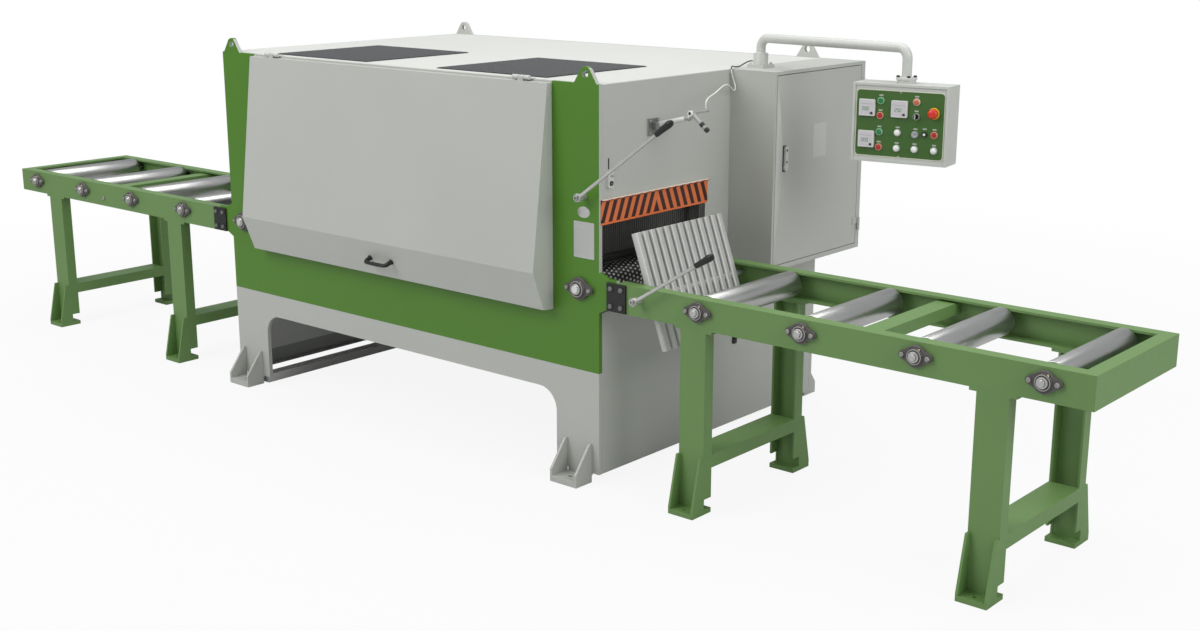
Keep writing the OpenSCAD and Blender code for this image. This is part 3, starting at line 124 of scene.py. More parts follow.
def tube(path, radius, sides=10, side=None):
    """Tube along a path, its radius in millimetres: P(s, t) = path(s) + radius (cos t u(s) + sin t v(s)),
    closed by a point at each end. A path in one plane is given that plane's normal as side."""
    path = np.asarray(path, float)
    step = np.gradient(path, axis=0)
    d = step / np.linalg.norm(step, axis=1)[:, None]
    if side is None:
        u = np.cross(d, np.where(np.abs(d[:, 2:3]) > 0.9, EAST, UP))
    else:
        u = np.broadcast_to(side, d.shape)
    u = u / np.linalg.norm(u, axis=1)[:, None]
    v = np.cross(u, d)
    t = np.linspace(0, 2 * np.pi, sides, endpoint=False)
    ring = np.cos(t)[None, :, None] * u[:, None] + np.sin(t)[None, :, None] * v[:, None]
    radii = np.broadcast_to(np.asarray(radius, float) * MM, (len(path),))
    body = path[:, None] + radii[:, None, None] * ring
    ends = [np.repeat(path[k][None, None], sides, 1) for k in (0, -1)]
    return sheet_of(np.concatenate([ends[0], body, ends[1]]), wrap_v=True)


def smooth_route(points, steps):
    """Catmull-Rom curve through the points, with that many steps in each span."""
    p = np.asarray(points, float)
    q = np.concatenate([p[:1], p, p[-1:]])
    a, b, c, d = q[:-3, None], q[1:-2, None], q[2:-1, None], q[3:, None]
    t = np.linspace(0, 1, steps, endpoint=False)[None, :, None]
    square, cube = 2 * a - 5 * b + 4 * c - d, 3 * b - a - 3 * c + d
    curve = 0.5 * (2 * b + (c - a) * t + square * t ** 2 + cube * t ** 3)
    return np.concatenate([curve.reshape(-1, 3), p[-1:]])


def outline(w, h, r, per_corner=6):
    """Rounded rectangle: four arcs of radius r about the corners of a (w - 2r) by (h - 2r) rectangle."""
    k = np.linspace(0, np.pi / 2, per_corner)
    parts = []
    for quarter, (sx, sy) in enumerate(((1, 1), (-1, 1), (-1, -1), (1, -1))):
        a = k + quarter * np.pi / 2
        parts.append(np.stack([sx * (w / 2 - r) + r * np.cos(a), sy * (h / 2 - r) + r * np.sin(a)], -1))
    return np.concatenate(parts)


def pad(size, rise, origin, ex, ey, corner=2, edge=0.6, per_corner=6, closed=False):
    """Plate with rounded corners and edges, sizes in millimetres: P(k, t) = origin + x ex + y ey + z(k) n,
    with the outline inset by edge (1 - cos a) while z climbs by edge sin a to the full rise. It is closed on
    its upper side, and below if asked."""
    ex, ey = np.asarray(ex, float), np.asarray(ey, float)
    n = np.cross(ex, ey)
    turns = np.linspace(0, np.pi / 2, 5)
    arc = [(edge * (1 - math.cos(a)), rise - edge * (1 - math.sin(a))) for a in turns]
    loops = []
    for inset, z in [(0.0, 0.0)] + arc + [(1.2 * edge, rise)]:
        corner_now = max(corner - inset, LEAST_CORNER)
        flat = outline(size[0] - 2 * inset, size[1] - 2 * inset, corner_now, per_corner)
        loops.append(flat @ np.array([ex, ey]) + z * n)
    loops.append(np.repeat((rise * n)[None], len(loops[0]), 0))
    if closed:
        loops.insert(0, np.zeros_like(loops[0]))
    return sheet_of(np.asarray(origin) + MM * np.array(loops), wrap_v=True)


def hexagon(across, height, centre, axis):
    """Hex head with a chamfered crown: a six-sided turning with radius across / sqrt 3."""
    r = across / math.sqrt(3)
    return turned([(0, 0), (r, 0), (r, 0.8 * height), (0.86 * r, height), (0, height)], centre, axis, 6)


def joined(parts):
    """One part from several, with the faces' indices moved on."""
    verts, faces, base = [], [], 0
    for v, f in parts:
        verts.append(v)
        faces.append(f + base)
        base += len(v)
    return np.concatenate(verts), np.concatenate(faces)


def piece(name, parts, finish, body="machine"):
    """Makes an object from parts, welds its seams, turns its normals outward and lets it ride on a body."""
    verts, faces = joined(parts)
    mesh = bpy.data.meshes.new(name)
    mesh.from_pydata(verts.tolist(), [], faces.tolist())
    mesh.validate()
    work = bmesh.new()
    work.from_mesh(mesh)
    bmesh.ops.remove_doubles(work, verts=work.verts, dist=1e-6)
    bmesh.ops.dissolve_degenerate(work, edges=work.edges, dist=1e-7)
    bmesh.ops.recalc_face_normals(work, faces=work.faces)
    work.to_mesh(mesh)
    work.free()
    mesh.materials.append(material(finish))
    mesh.shade_smooth()
    mesh.set_sharp_from_angle(angle=math.radians(35))
    obj = bpy.data.objects.new(name, mesh)
    bpy.context.collection.objects.link(obj)
    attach(obj, body)
    return obj


def dress(names, finish, bevel=0.0):
    """Gives CAD nodes a finish and, where asked, softly broken edges."""
    for name in names:
        obj = NODES[name]
        obj.data.materials.clear()
        obj.data.materials.append(material(finish))
        if bevel:
            weld = obj.modifiers.new("weld", "WELD")
            weld.merge_threshold = 1e-5
            flat = obj.modifiers.new("flats", "DECIMATE")
            flat.decimate_type = "DISSOLVE"
            flat.angle_limit = math.radians(0.5)
            edge = obj.modifiers.new("edges", "BEVEL")
            edge.width = bevel
            edge.segments = 2
            edge.limit_method = "ANGLE"
            edge.angle_limit = math.radians(50)
            edge.harden_normals = True


# Shader groups

VECTOR = "ShaderNodeVectorMath"


def feed(tree, socket, value):
    """Links an input to another node's socket, or sets it to a plain value."""
    if isinstance(value, bpy.types.NodeSocket):
        tree.links.new(value, socket)
    else:
        socket.default_value = value


def node(tree, kind, **values):
    """New node with properties and inputs set by name, where an underscore stands for an input's space."""
    n = tree.nodes.new(kind)
    for key, value in values.items():
        label = key.replace("_", " ")
        if label in n.inputs:
            feed(tree, n.inputs[label], value)
        else:
            setattr(n, key, value)
    return n


def math_node(tree, operation, *values, kind="ShaderNodeMath"):
    """Output of a math node on sockets and numbers, or of a vector math node where that is the kind."""
    n = node(tree, kind, operation=operation)
    for socket, value in zip(n.inputs, values):
        feed(tree, socket, value)
    return n.outputs["Value" if operation == "LENGTH" else 0]


def noise(tree, place, scale, detail):
    """Value of a noise of that scale at a place."""
    return node(tree, "ShaderNodeTexNoise", Vector=place, Scale=scale, Detail=detail).outputs["Fac"]


def mixed(tree, fac, a, b):
    """Mix of two colours by a factor socket."""
    n = node(tree, "ShaderNodeMix", data_type="RGBA", Factor=fac)
    feed(tree, n.inputs[6], a)
    feed(tree, n.inputs[7], b)
    return n.outputs[2]


def open_group(name, extra, kind, value):
    """New shader group from colour, roughness and one more input to colour, roughness and normal; returns it
    with its inputs and its place on the object."""
    tree = bpy.data.node_groups.new(name, "ShaderNodeTree")
    inputs = (("Colour", "Color", (0.6, 0.6, 0.6, 1)), ("Roughness", "Float", 0.4), (extra, kind, value))
    for label, sort, start in inputs:
        socket = tree.interface.new_socket(label, in_out="INPUT", socket_type="NodeSocket" + sort)
        socket.default_value = start
    for label, sort in (("Colour", "Color"), ("Roughness", "Float"), ("Normal", "Vector")):
        tree.interface.new_socket(label, in_out="OUTPUT", socket_type="NodeSocket" + sort)
    place = node(tree, "ShaderNodeTexCoord").outputs["Object"]
    return tree, tree.nodes.new("NodeGroupInput").outputs, place


def close_group(tree, given, shade, grain, bump):
    """Outputs of a group: its colour times a shade, its roughness plus a grain, and the bump's normal."""
    tone = node(tree, VECTOR, operation="SCALE", Vector=given["Colour"], Scale=shade)
    rough = math_node(tree, "ADD", given["Roughness"], grain)
    node(tree, "NodeGroupOutput", Colour=tone.outputs[0], Roughness=rough, Normal=bump.outputs["Normal"])
    return tree


def paint_group():
    """Sprayed paint: colour with faint broad mottling, roughness with fine grain, orange-peel normal."""
    g, given, place = open_group("sprayed paint", "Peel", "Float", 0.04)
    shade = math_node(g, "MULTIPLY_ADD", noise(g, place, 1.7, 3.0), 0.10, 0.95)
    grain = math_node(g, "MULTIPLY_ADD", noise(g, place, 38.0, 6.0), 0.14, -0.07)
    peel = noise(g, place, 420.0, 2.0)
    bump = node(g, "ShaderNodeBump", Strength=given["Peel"], Distance=0.0006, Height=peel)
    return close_group(g, given, shade, grain, bump)


def steel_group():
    """Turned or drawn steel: fine lines across the grain direction, as colour, roughness and normal."""
    g, given, place = open_group("drawn steel", "Grain", "Vector", (8.0, 900.0, 8.0))
    lines = noise(g, math_node(g, "MULTIPLY", place, given["Grain"], kind=VECTOR), 1.0, 4.0)
    broad = math_node(g, "MULTIPLY", noise(g, place, 6.0, 4.0), 0.06)
    shade = math_node(g, "ADD", math_node(g, "MULTIPLY_ADD", lines, 0.22, 0.86), broad)
    grain = math_node(g, "MULTIPLY_ADD", lines, 0.22, -0.11)
    bump = node(g, "ShaderNodeBump", Strength=0.15, Distance=0.0004, Height=lines)
    return close_group(g, given, shade, grain, bump)


GROUPS = {}


def through(tree, shader, maker, colour, **values):
    """Feeds the shader's colour, roughness and normal from a shared group, made once."""
    if maker not in GROUPS:
        GROUPS[maker] = maker()
    n = node(tree, "ShaderNodeGroup", node_tree=GROUPS[maker], Colour=colour, **values)
    for ours, theirs in (("Colour", "Base Color"), ("Roughness", "Roughness"), ("Normal", "Normal")):
        tree.links.new(n.outputs[ours], shader.inputs[theirs])


# Finishes

# Display colour, roughness and, where it isn't the usual one, orange peel
PAINTS = {
    "roof grey": ((206, 207, 202), 0.42),
    "hinge grey": ((190, 191, 186), 0.42),
    "box grey": ((192, 194, 188), 0.42),
    "arm grey": ((196, 198, 192), 0.35),
    "beam grey": ((206, 207, 202), 0.42),
    "lining grey": ((232, 233, 229), 0.42),
    "inner grey": ((120, 122, 118), 0.55),
    "tunnel grey": ((66, 67, 66), 0.6),
    "liner grey": ((126, 127, 124), 0.5),
    "grille black": ((40, 41, 42), 0.5),
    "mesh grey": ((84, 86, 88), 0.45),
    "bearing iron": ((84, 81, 79), 0.45, 0.25),
    "ring iron": ((150, 147, 145), 0.4, 0.2),
    # painted shade in the gaps of the bearings
    "painted gap shade": ((40, 37, 36), 0.5),
    "motor grey": ((84, 90, 92), 0.5, 0.2),
    "splice black": ((24, 25, 23), 0.5),
    "bolt grey": ((104, 106, 104), 0.4),
    "bolt black": ((24, 24, 24), 0.45),
    "catch grey": ((204, 205, 200), 0.4),
    "plate green": ((58, 96, 34), 0.42),
    # painted highlight along the control plate's edge
    "painted edge highlight": ((206, 210, 188), 0.4),
    "label grey": ((176, 182, 168), 0.4),
    "plate white": ((190, 192, 187), 0.4),
}
# Display colour, roughness, grain of the lines and, where it isn't the whole, share of metal
METALS = {
    "roller steel": ((196, 196, 194), 0.34, (8, 900, 8)),
    "worn steel": ((165, 165, 163), 0.38, (8, 900, 8)),
    "arbor steel": ((170, 170, 170), 0.3, (8, 900, 8)),
    "blade steel": ((190, 190, 190), 0.25, (40, 8, 40)),
    "finger steel": ((116, 117, 115), 0.45, (60, 60, 6)),
    "gate steel": ((188, 189, 185), 0.48, (90, 90, 5), 0.4),
    "lever steel": ((196, 196, 193), 0.32, (30, 30, 30), 0.6),
    "laser steel": ((186, 187, 184), 0.32, (9, 9, 9), 0.65),
    "stay steel": ((226, 227, 225), 0.3, (9, 9, 9), 0.5),
    "block steel": ((136, 137, 135), 0.4, (60, 9, 9), 0.7),
    "lock steel": ((206, 207, 204), 0.4, (40, 40, 40), 0.4),
    "insert steel": ((196, 194, 192), 0.35, (30, 30, 30), 0.6),
    "nipple brass": ((170, 160, 130), 0.35, (60, 60, 60)),
    "bolt steel": ((178, 178, 176), 0.35, (40, 40, 40)),
    "bolt plated": ((150, 149, 146), 0.35, (40, 40, 40), 0.6),
    "bezel chrome": ((205, 206, 206), 0.25, (40, 40, 40)),
    "plate aluminium": ((206, 207, 205), 0.38, (6, 6, 260)),
}
# Display colour, roughness and, where there is one, clear coat
PLASTICS = {
    "grip black": ((19, 19, 19), 0.4),
    "knob black": ((26, 26, 27), 0.4),
    "stop red": ((206, 46, 22), 0.3, 0.3),
    "collar yellow": ((226, 176, 40), 0.35),
    "button red": ((176, 36, 30), 0.3, 0.3),
    "button green": ((26, 122, 62), 0.3, 0.3),
    "ring red": ((214, 150, 132), 0.3, 0.3),
    "ring green": ((150, 190, 158), 0.3, 0.3),
    "ring grey": ((176, 180, 176), 0.3, 0.3),
    "ring silver": ((158, 164, 160), 0.3, 0.3),
    "lamp white": ((232, 234, 230), 0.2, 0.4),
    "lamp beige": ((226, 200, 172), 0.3, 0.3),
    "dome salmon": ((192, 100, 76), 0.25, 0.4),
    "key grey": ((150, 154, 154), 0.35),
    "meter grey": ((208, 206, 206), 0.4),
    "meter face": ((200, 196, 200), 0.25, 0.4),
    "line grey": ((120, 124, 126), 0.4),
    "figure green": ((52, 128, 70), 0.35),
}


FACING = 0.6


def blank_material(name, **sockets):
    """Material with a Principled shader whose constant sockets are set by name."""
    m = bpy.data.materials.new(name)
    m.use_nodes = True
    shader = m.node_tree.nodes["Principled BSDF"]
    for key, value in sockets.items():
        shader.inputs[key.replace("_", " ")].default_value = value
    return m, m.node_tree, shader


def linear(rgb):
    """Linear colour from 0 to 255 display values."""
    c = np.array(rgb, float) / 255
    c = np.where(c <= 0.04045, c / 12.92, ((c + 0.055) / 1.055) ** 2.4)
    return (float(c[0]), float(c[1]), float(c[2]), 1.0)


def display(colour):
    """0 to 255 display values of a colour setting."""
    return tuple(255 * part for part in colour)


def paint(name, rgb, rough=0.42, peel=0.05):
    """Sprayed paint of one colour."""
    m, tree, shader = blank_material(name)
    through(tree, shader, paint_group, linear(rgb), Roughness=rough, Peel=peel)
    return m


def metal(name, rgb, rough, grain, share=1.0):
    """Turned, drawn or plated metal with its grain lines square to the direction of the large number."""
    m, tree, shader = blank_material(name, Metallic=share)
    through(tree, shader, steel_group, linear(rgb), Roughness=rough, Grain=grain)
    return m


def plastic(name, rgb, rough, coat=0.0):
    """Moulded plastic with the fine grain of the paint group."""
    m, tree, shader = blank_material(name, Coat_Weight=coat)
    through(tree, shader, paint_group, linear(rgb), Roughness=rough, Peel=0.02)
    return m


def object_parts(tree, output="Object"):
    """X, Y and Z of the object coordinates, or of the object's normals."""
    parts = node(tree, "ShaderNodeSeparateXYZ")
    tree.links.new(node(tree, "ShaderNodeTexCoord").outputs[output], parts.inputs[0])
    return parts.outputs


def cord_sheath(name):
    """Cord sheath: pale up to the roof's edge, dark above it."""
    pale, dark = (214, 214, 209), (72, 72, 70)
    m, tree, shader = blank_material(name)
    above = math_node(tree, "GREATER_THAN", object_parts(tree)["Z"], CORD_PALE_TOP)
    colour = mixed(tree, above, linear(pale), linear(dark))
    through(tree, shader, paint_group, colour, Roughness=0.5, Peel=0.02)
    return m


def plate_paint(name):
    """Two paints on the front plate: grey below the paint line, above the hood's lip and on the end edge from
    the mouth up, green elsewhere. The grey on the end edge is its unpainted cut edge and partly a painted
    highlight."""
    s = settings()
    lip, half, mouth = ROOF_Z - 9 * MM, high("hood")[0], 0.86
    m, tree, shader = blank_material(name)
    at, facing = object_parts(tree), object_parts(tree, "Normal")
    within = math_node(tree, "LESS_THAN", math_node(tree, "ABSOLUTE", at["X"]), half)
    over = math_node(tree, "MULTIPLY", math_node(tree, "GREATER_THAN", at["Z"], lip), within)
    band = math_node(tree, "SUBTRACT", math_node(tree, "GREATER_THAN", at["Z"], s.split), over)
    # faces turned to +X above the mouth: unpainted cut edge, partly a painted highlight
    edge = math_node(tree, "MULTIPLY", math_node(tree, "GREATER_THAN", facing["X"], FACING),
                     math_node(tree, "GREATER_THAN", at["Z"], mouth))
    band = math_node(tree, "MULTIPLY", band, math_node(tree, "SUBTRACT", 1.0, edge))
    colour = mixed(tree, band, linear(display(s.grey)), linear(display(s.green)))
    through(tree, shader, paint_group, colour, Roughness=0.4, Peel=0.05)
    return m


def guard_stripes(name):
    """Stripes leaning to the guard's middle: dark where fract((|y - middle| + lean z) / pitch) < share,
    above a margin of ground colour, with a pale upper lip."""
    stripe, lip = (54, 27, 20), (226, 214, 200)
    pitch, lean, share, margin = 48 * MM, 0.40, 0.5, 9 * MM
    lo, hi = low("mouth_guard"), high("mouth_guard")
    m, tree, shader = blank_material(name)
    at = object_parts(tree)
    off = math_node(tree, "ABSOLUTE", math_node(tree, "SUBTRACT", at["Y"], 0.5 * (lo[1] + hi[1])))
    rise = math_node(tree, "MULTIPLY", math_node(tree, "SUBTRACT", at["Z"], lo[2]), lean)
    along = math_node(tree, "DIVIDE", math_node(tree, "ADD", off, rise), pitch)
    dark = math_node(tree, "LESS_THAN", math_node(tree, "FRACT", along), share)
    dark = math_node(tree, "MULTIPLY", dark, math_node(tree, "GREATER_THAN", at["Z"], lo[2] + margin))
    upper = math_node(tree, "GREATER_THAN", object_parts(tree, "Normal")["Z"], FACING)
    striped = mixed(tree, dark, linear(display(settings().orange)), linear(stripe))
    through(tree, shader, paint_group, mixed(tree, upper, striped, linear(lip)), Roughness=0.45, Peel=0.05)
    return m


def spike_metal(name, centre, tips):
    """Dark rolled steel with bright tips and shaft: bright where the distance from the axis passes the tips'
    radius or stays under the shaft's."""
    dark, bright, shaft = (84, 85, 84), (236, 236, 234), 18 * MM
    m, tree, shader = blank_material(name, Metallic=1.0)
    place = node(tree, "ShaderNodeTexCoord").outputs["Object"]
    away = math_node(tree, "SUBTRACT", place, tuple(map(float, centre)), kind=VECTOR)
    across = math_node(tree, "MULTIPLY", away, (1.0, 0.0, 1.0), kind=VECTOR)
    far = math_node(tree, "LENGTH", across, kind=VECTOR)
    tip = math_node(tree, "MAXIMUM", math_node(tree, "GREATER_THAN", far, tips * MM),
                    math_node(tree, "LESS_THAN", far, shaft))
    colour = mixed(tree, tip, linear(dark), linear(bright))
    through(tree, shader, steel_group, colour, Roughness=0.36, Grain=(30, 30, 30))
    return m


FINISHES = {}


def material(finish):
    """The material itself, or the finish of that name, made on its first use."""
    if isinstance(finish, bpy.types.Material):
        return finish
    if finish not in FINISHES:
        if finish == "body grey":
            made = paint(finish, display(settings().grey))
        elif finish == "table green":
            made = paint(finish, display(settings().table), 0.45)
        elif finish in PAINTS:
            made = paint(finish, *PAINTS[finish])
        elif finish in METALS:
            made = metal(finish, *METALS[finish])
        else:
            made = plastic(finish, *PLASTICS[finish])
        FINISHES[finish] = made
    return FINISHES[finish]


# Settings

class RipSawFinish(bpy.types.PropertyGroup):
    """Colours and sizes that a user would change."""

    green: bpy.props.FloatVectorProperty(
        name="Body green", description="Paint of the front plate",
        subtype="COLOR_GAMMA", size=3, min=0, max=1, default=(73 / 255, 122 / 255, 24 / 255))
    grey: bpy.props.FloatVectorProperty(
        name="Body grey", description="Paint of the hood, ends and cabinet",
        subtype="COLOR_GAMMA", size=3, min=0, max=1, default=(178 / 255, 180 / 255, 174 / 255))
    table: bpy.props.FloatVectorProperty(
        name="Table green", description="Paint of the roller tables",
        subtype="COLOR_GAMMA", size=3, min=0, max=1, default=(101 / 255, 135 / 255, 76 / 255))
    orange: bpy.props.FloatVectorProperty(
        name="Guard orange", description="Ground colour of the mouth guard",
        subtype="COLOR_GAMMA", size=3, min=0, max=1, default=(222 / 255, 116 / 255, 64 / 255))
    split: bpy.props.FloatProperty(
        name="Paint line", description="Height where green meets grey on the front plate", default=0.477,
        unit="LENGTH")
    edge: bpy.props.FloatProperty(
        name="Edge break", description="Width of the broken edges of heavy parts", default=0.002,
        unit="LENGTH")
    lamp: bpy.props.FloatProperty(
        name="Lamp power", description="Power of the key lamp", default=350.0, unit="POWER")


def settings():
    """The scene's saw settings."""
    return bpy.context.scene.rip_saw


class SawOperator(bpy.types.Operator):
    """Base of the saw's operators."""

    bl_options = {"REGISTER", "UNDO"}


# Cord

CORD_ROUTE = [
    (1390, -345, 1536), (1390, -345, 1548), (1387, -337, 1561), (1378, -313, 1570),
    (1360, -270, 1574), (1335, -210, 1578), (1312, -150, 1587), (1290, -90, 1596),
    (1268, -30, 1594), (1252, 13, 1580), (1245, 41, 1566), (1242, 58, 1563),
    (1240, 66, 1574), (1232, 67, 1596), (1222, 67, 1622), (1216, 67, 1645),
    (1214, 71, 1657), (1212, 81, 1661), (1205, 105, 1657), (1195, 140, 1654),
    (1187, 173, 1655), (1187, 195, 1661), (1194, 212, 1669), (1206, 220, 1674),
    (1214, 221, 1675), (1222, 221, 1675),
]
CORD_DIAMETER = 6 * MM
CORD_PALE_TOP = 1.649


class SAW_OT_cord(SawOperator):
    """Cord of the line laser, from its gland to the collar of the control arm."""

    bl_idname = "rip_saw.cord"
    bl_label = "Laser cord"

    def execute(self, context):
        path = smooth_route(np.array(CORD_ROUTE) * MM, 6)
        skin = tube(path, 0.5 * CORD_DIAMETER / MM, 12)
        cord = piece("laser_cord_skin", [skin], cord_sheath("cord sheath"))
        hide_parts("laser_cord")
        return {"FINISHED"}


# Finishes of the CAD nodes

class SAW_OT_body(SawOperator):
    """Paint of the saw body, hood and cabinet."""

    bl_idname = "rip_saw.body"
    bl_label = "Body paint"

    def execute(self, context):
        edge = settings().edge
        dress(["front_plate"], plate_paint("plate paint"), edge)
        dress(["rear_plate", "end_panels", "hood", "machine_feet"], "body grey", edge)
        dress(["cabinet", "cabinet_door"], "body grey", edge)
        dress(["top_cover"], "roof grey")
        dress(["hood_hinges", "arm_collar"], "hinge grey", 0.5 * edge)
        dress(["control_box"], "box grey", edge)
        dress(["guide_beams", "press_yokes", "electrical_plate"], "inner grey")
        dress(["inner_plate"], "tunnel grey")
        dress(["vent_grilles"], "grille black")
        dress(["mouth_guard"], guard_stripes("guard stripes"), 0.4 * edge)
        return {"FINISHED"}


DRUM_ENDS = (-0.760, -0.139)
OUTER_X = 0.8
SPIKE_TIPS, STUD_TIPS, NO_TIPS = 70.5, 75.3, 80


def studded_drum(centre):
    """Drum with staggered studs: P(t, y) = centre + R(t, y) (cos t, sin t), with
    R = base + rise max(0, 1 - max(|a|, |b|) / reach), where a and b run from -1/2 to 1/2 across each stud
    around and along the drum."""
    around, along, fine, base, rise, reach = 26, 27, 6, 73.8 * MM, 3.4 * MM, 0.42
    start, end = DRUM_ENDS
    t = np.arange(around * fine)[:, None] / fine
    v = np.arange(along * fine + 1)[None, :] / fine
    a = (t + 0.5 * (np.floor(v) % 2)) % 1.0 - 0.5
    b = v % 1.0 - 0.5
    radius = base + rise * np.maximum(0.0, 1.0 - np.maximum(np.abs(a), np.abs(b)) / reach)
    turn = 2 * np.pi * t / around
    y = np.broadcast_to(start + (end - start) * v / along, radius.shape)
    wall = np.stack([centre[0] + radius * np.cos(turn), y, centre[2] + radius * np.sin(turn)], -1)
    ends = [np.broadcast_to((centre[0], at, centre[2]), (len(t), 1, 3)) for at in DRUM_ENDS]
    return sheet_of(np.concatenate([ends[0], wall, ends[1]], 1), wrap_u=True)


class SAW_OT_running_parts(SawOperator):
    """Finishes of rollers, saws, bearings, drives, fingers and levers, and the outer feed rollers' studs."""

    bl_idname = "rip_saw.running_parts"
    bl_label = "Running parts"

    def execute(self, context):
        edge = settings().edge
        for i in (1, 2, 3, 4):
            dress(["infeed_roller_%d" % i, "outfeed_roller_%d" % i], "roller steel", edge)
            name = "feed_roller_%d" % i
            centre = 0.5 * (low(name) + high(name))
            outer = abs(centre[0]) > OUTER_X
            dress([name], spike_metal(name + " steel", centre, NO_TIPS if outer else SPIKE_TIPS), 0.3 * edge)
            if outer:
                steel = spike_metal(name + " studs", centre, STUD_TIPS)
                piece(name + "_studs", [studded_drum(centre)], steel, name + "_body")
        dress(["press_roller_1", "press_roller_2", "feed_bed"], "worn steel")
        dress(["upper_arbor", "lower_arbor"], "arbor steel")
        dress(["upper_blades", "lower_blades"], "blade steel")
        dress(["flange_bearings"], "bearing iron", 0.3 * edge)
        dress(["arbor_housings", "main_motors", "feed_drives"], "motor grey")
        dress(["upper_fingers"], "finger steel", 0.4 * edge)
        dress(["upper_lever", "lower_lever"], "lever steel", 0.4 * edge)
        dress(["laser_pointer"], "laser steel", 0.3 * edge)
        return {"FINISHED"}


class SAW_OT_gate_bars(SawOperator):
    """Rounded bars of the lower gate: a rounded rectangle carried along each bar's leaning axis."""

    bl_idname = "rip_saw.gate_bars"
    bl_label = "Lower gate bars"

    def execute(self, context):
        count, lean, above, below, width, depth = 13, math.radians(19.6), 261, 223, 34, 30
        shaft, lo, hi = pivot("lower_gate_swing"), low("lower_fingers"), high("lower_fingers")
        along = np.array([-math.sin(lean), 0.0, math.cos(lean)])
        across, inset = np.cross(along, NORTH), 0.5 * width * MM
        bars = []
        for y in np.linspace(lo[1] + inset, hi[1] - inset, count):
            foot = np.array([shaft[0], y, shaft[2]]) - below * MM * along
            bars.append(pad((width, depth), above + below, foot, NORTH, across, 9, 3, 7, True))
        gate = piece("gate_bars", bars, "gate steel", "lower_gate")
        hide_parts("lower_fingers")
        return {"FINISHED"}


class SAW_OT_tables(SawOperator):
    """Paint of the roller tables and of the plates that join them to the body."""

    bl_idname = "rip_saw.tables"
    bl_label = "Roller tables"

    def execute(self, context):
        edge = settings().edge
        dress(["table_frames", "table_legs"], "table green", edge)
        dress(["splice_plates"], "splice black", 0.4 * edge)
        return {"FINISHED"}


class SAW_OT_controls(SawOperator):
    """Finishes of the control plate, buttons, selector and door handle."""

    bl_idname = "rip_saw.controls"
    bl_label = "Controls"

    def execute(self, context):
        dress(["control_plate"], "plate green", 0.6 * MM)
        dress(["estop_button"], "stop red", 0.8 * MM)
        dress(["stop_button_1", "stop_button_2", "stop_button_3"], "button red", 0.8 * MM)
        dress(["start_button_1", "start_button_2"], "button green", 0.8 * MM)
        dress(["selector"], "grip black", 0.8 * MM)
        dress(["door_handle"], "lock steel", 1.2 * MM)
        return {"FINISHED"}


# Bearings

Bearing = namedtuple("Bearing", "reach bore boss disc thick half flange")
TABLE_BEARING = Bearing(reach=27, bore=13.2, boss=35, disc=40, thick=15.5, half=49.5, flange=14)
FEED_BEARING = Bearing(reach=31, bore=15.8, boss=40, disc=47, thick=16.5, half=58.5, flange=15)
INSERT = ((0, 0), (0, 8), (5, 8.6), (6.4, 7.4), (7, 0))
LOCK_RING = ((6.5, 0.2), (6.5, 1.8), (7.3, 2.5), (10.2, 2.5), (11, 1.8), (11, 0.2))
NIPPLE = ((0, 0), (4, 0), (4, 4), (2.2, 5), (2.4, 8), (0, 10))


def bearings():
    """Middle, outward direction and sizes of each flange bearing of the table and feed rollers."""
    for name, joint in JOINTS.items():
        table = name.startswith(("infeed", "outfeed"))
        if table or name.startswith("feed_roller"):
            x, _, z = joint["pos_m"]
            for y, n in RAIL_SIDES:
                yield np.array([x, y, z]), n * NORTH, (TABLE_BEARING if table else FEED_BEARING)


class SAW_OT_bearing_inserts(SawOperator):
    """Round middles, inserts, locking rings and grease nipples of the rollers' flange bearings, with dark
    discs as painted shade in the gaps between them.
    """

    bl_idname = "rip_saw.bearing_inserts"
    bl_label = "Bearing inserts"

    def execute(self, context):
        discs, inserts, gap_shades, rings, nipples = [], [], [], [], []
        for place, out, b in bearings():
            face = place + (b.reach - 6) * MM * out
            disc = [(b.disc, 0.2), (b.disc, b.thick - 2.5), (b.disc - 2.5, b.thick), (b.boss - 5, b.thick)]
            discs.append(turned(disc, place, out, 48))
            inserts.append(turned([(b.bore + r, h) for r, h in INSERT], face, out))
            # dark discs round the insert: painted shade in the gaps beside the locking ring
            gap_shades.append(turned([(b.boss - 4, 0), (b.boss - 4, 0.4), (b.bore + 6.6, 0.4)], face, out))
            rings.append(turned([(b.boss - r, h) for r, h in LOCK_RING], face, out))
            spot = place + MM * (0.42 * b.boss * EAST + (b.reach - 10) * out + 0.68 * b.boss * UP)
            nipples.append(turned(NIPPLE, spot, 0.5 * EAST + 0.35 * out + 0.8 * UP, 12))
        piece("bearing_discs", discs, "bearing iron")
        piece("bearing_inserts", inserts, "insert steel")
        piece("bearing_rings", rings, "ring iron")
        piece("bearing_gap_shade", gap_shades, "painted gap shade")
        piece("bearing_nipples", nipples, "nipple brass")
        return {"FINISHED"}


# Handle and grips

BOW_HALF = ((-70, 0), (-69, 12), (-67, 27), (-62, 36), (-50, 39), (-25, 40))
BOW_LEAN = math.radians(20.6)
BOW_FOOT = np.array([0.0, FRONT_Y - 91 * MM, 0.7985])
GRIP = ((7.2, -1), (10.4, -0.8), (10.8, 1), (12.2, 35), (14.4, 69), (14.2, 78), (11.8, 88), (7.5, 92.4),
        (0, 92.8))


def lever_eye(gate, depth):
    """Middle of the eye of a gate's lever, that many millimetres behind the lever's front."""
    eye = pivot(gate + "_gate_swing")
    eye[1] = low(gate + "_lever")[1] + depth * MM
    return eye


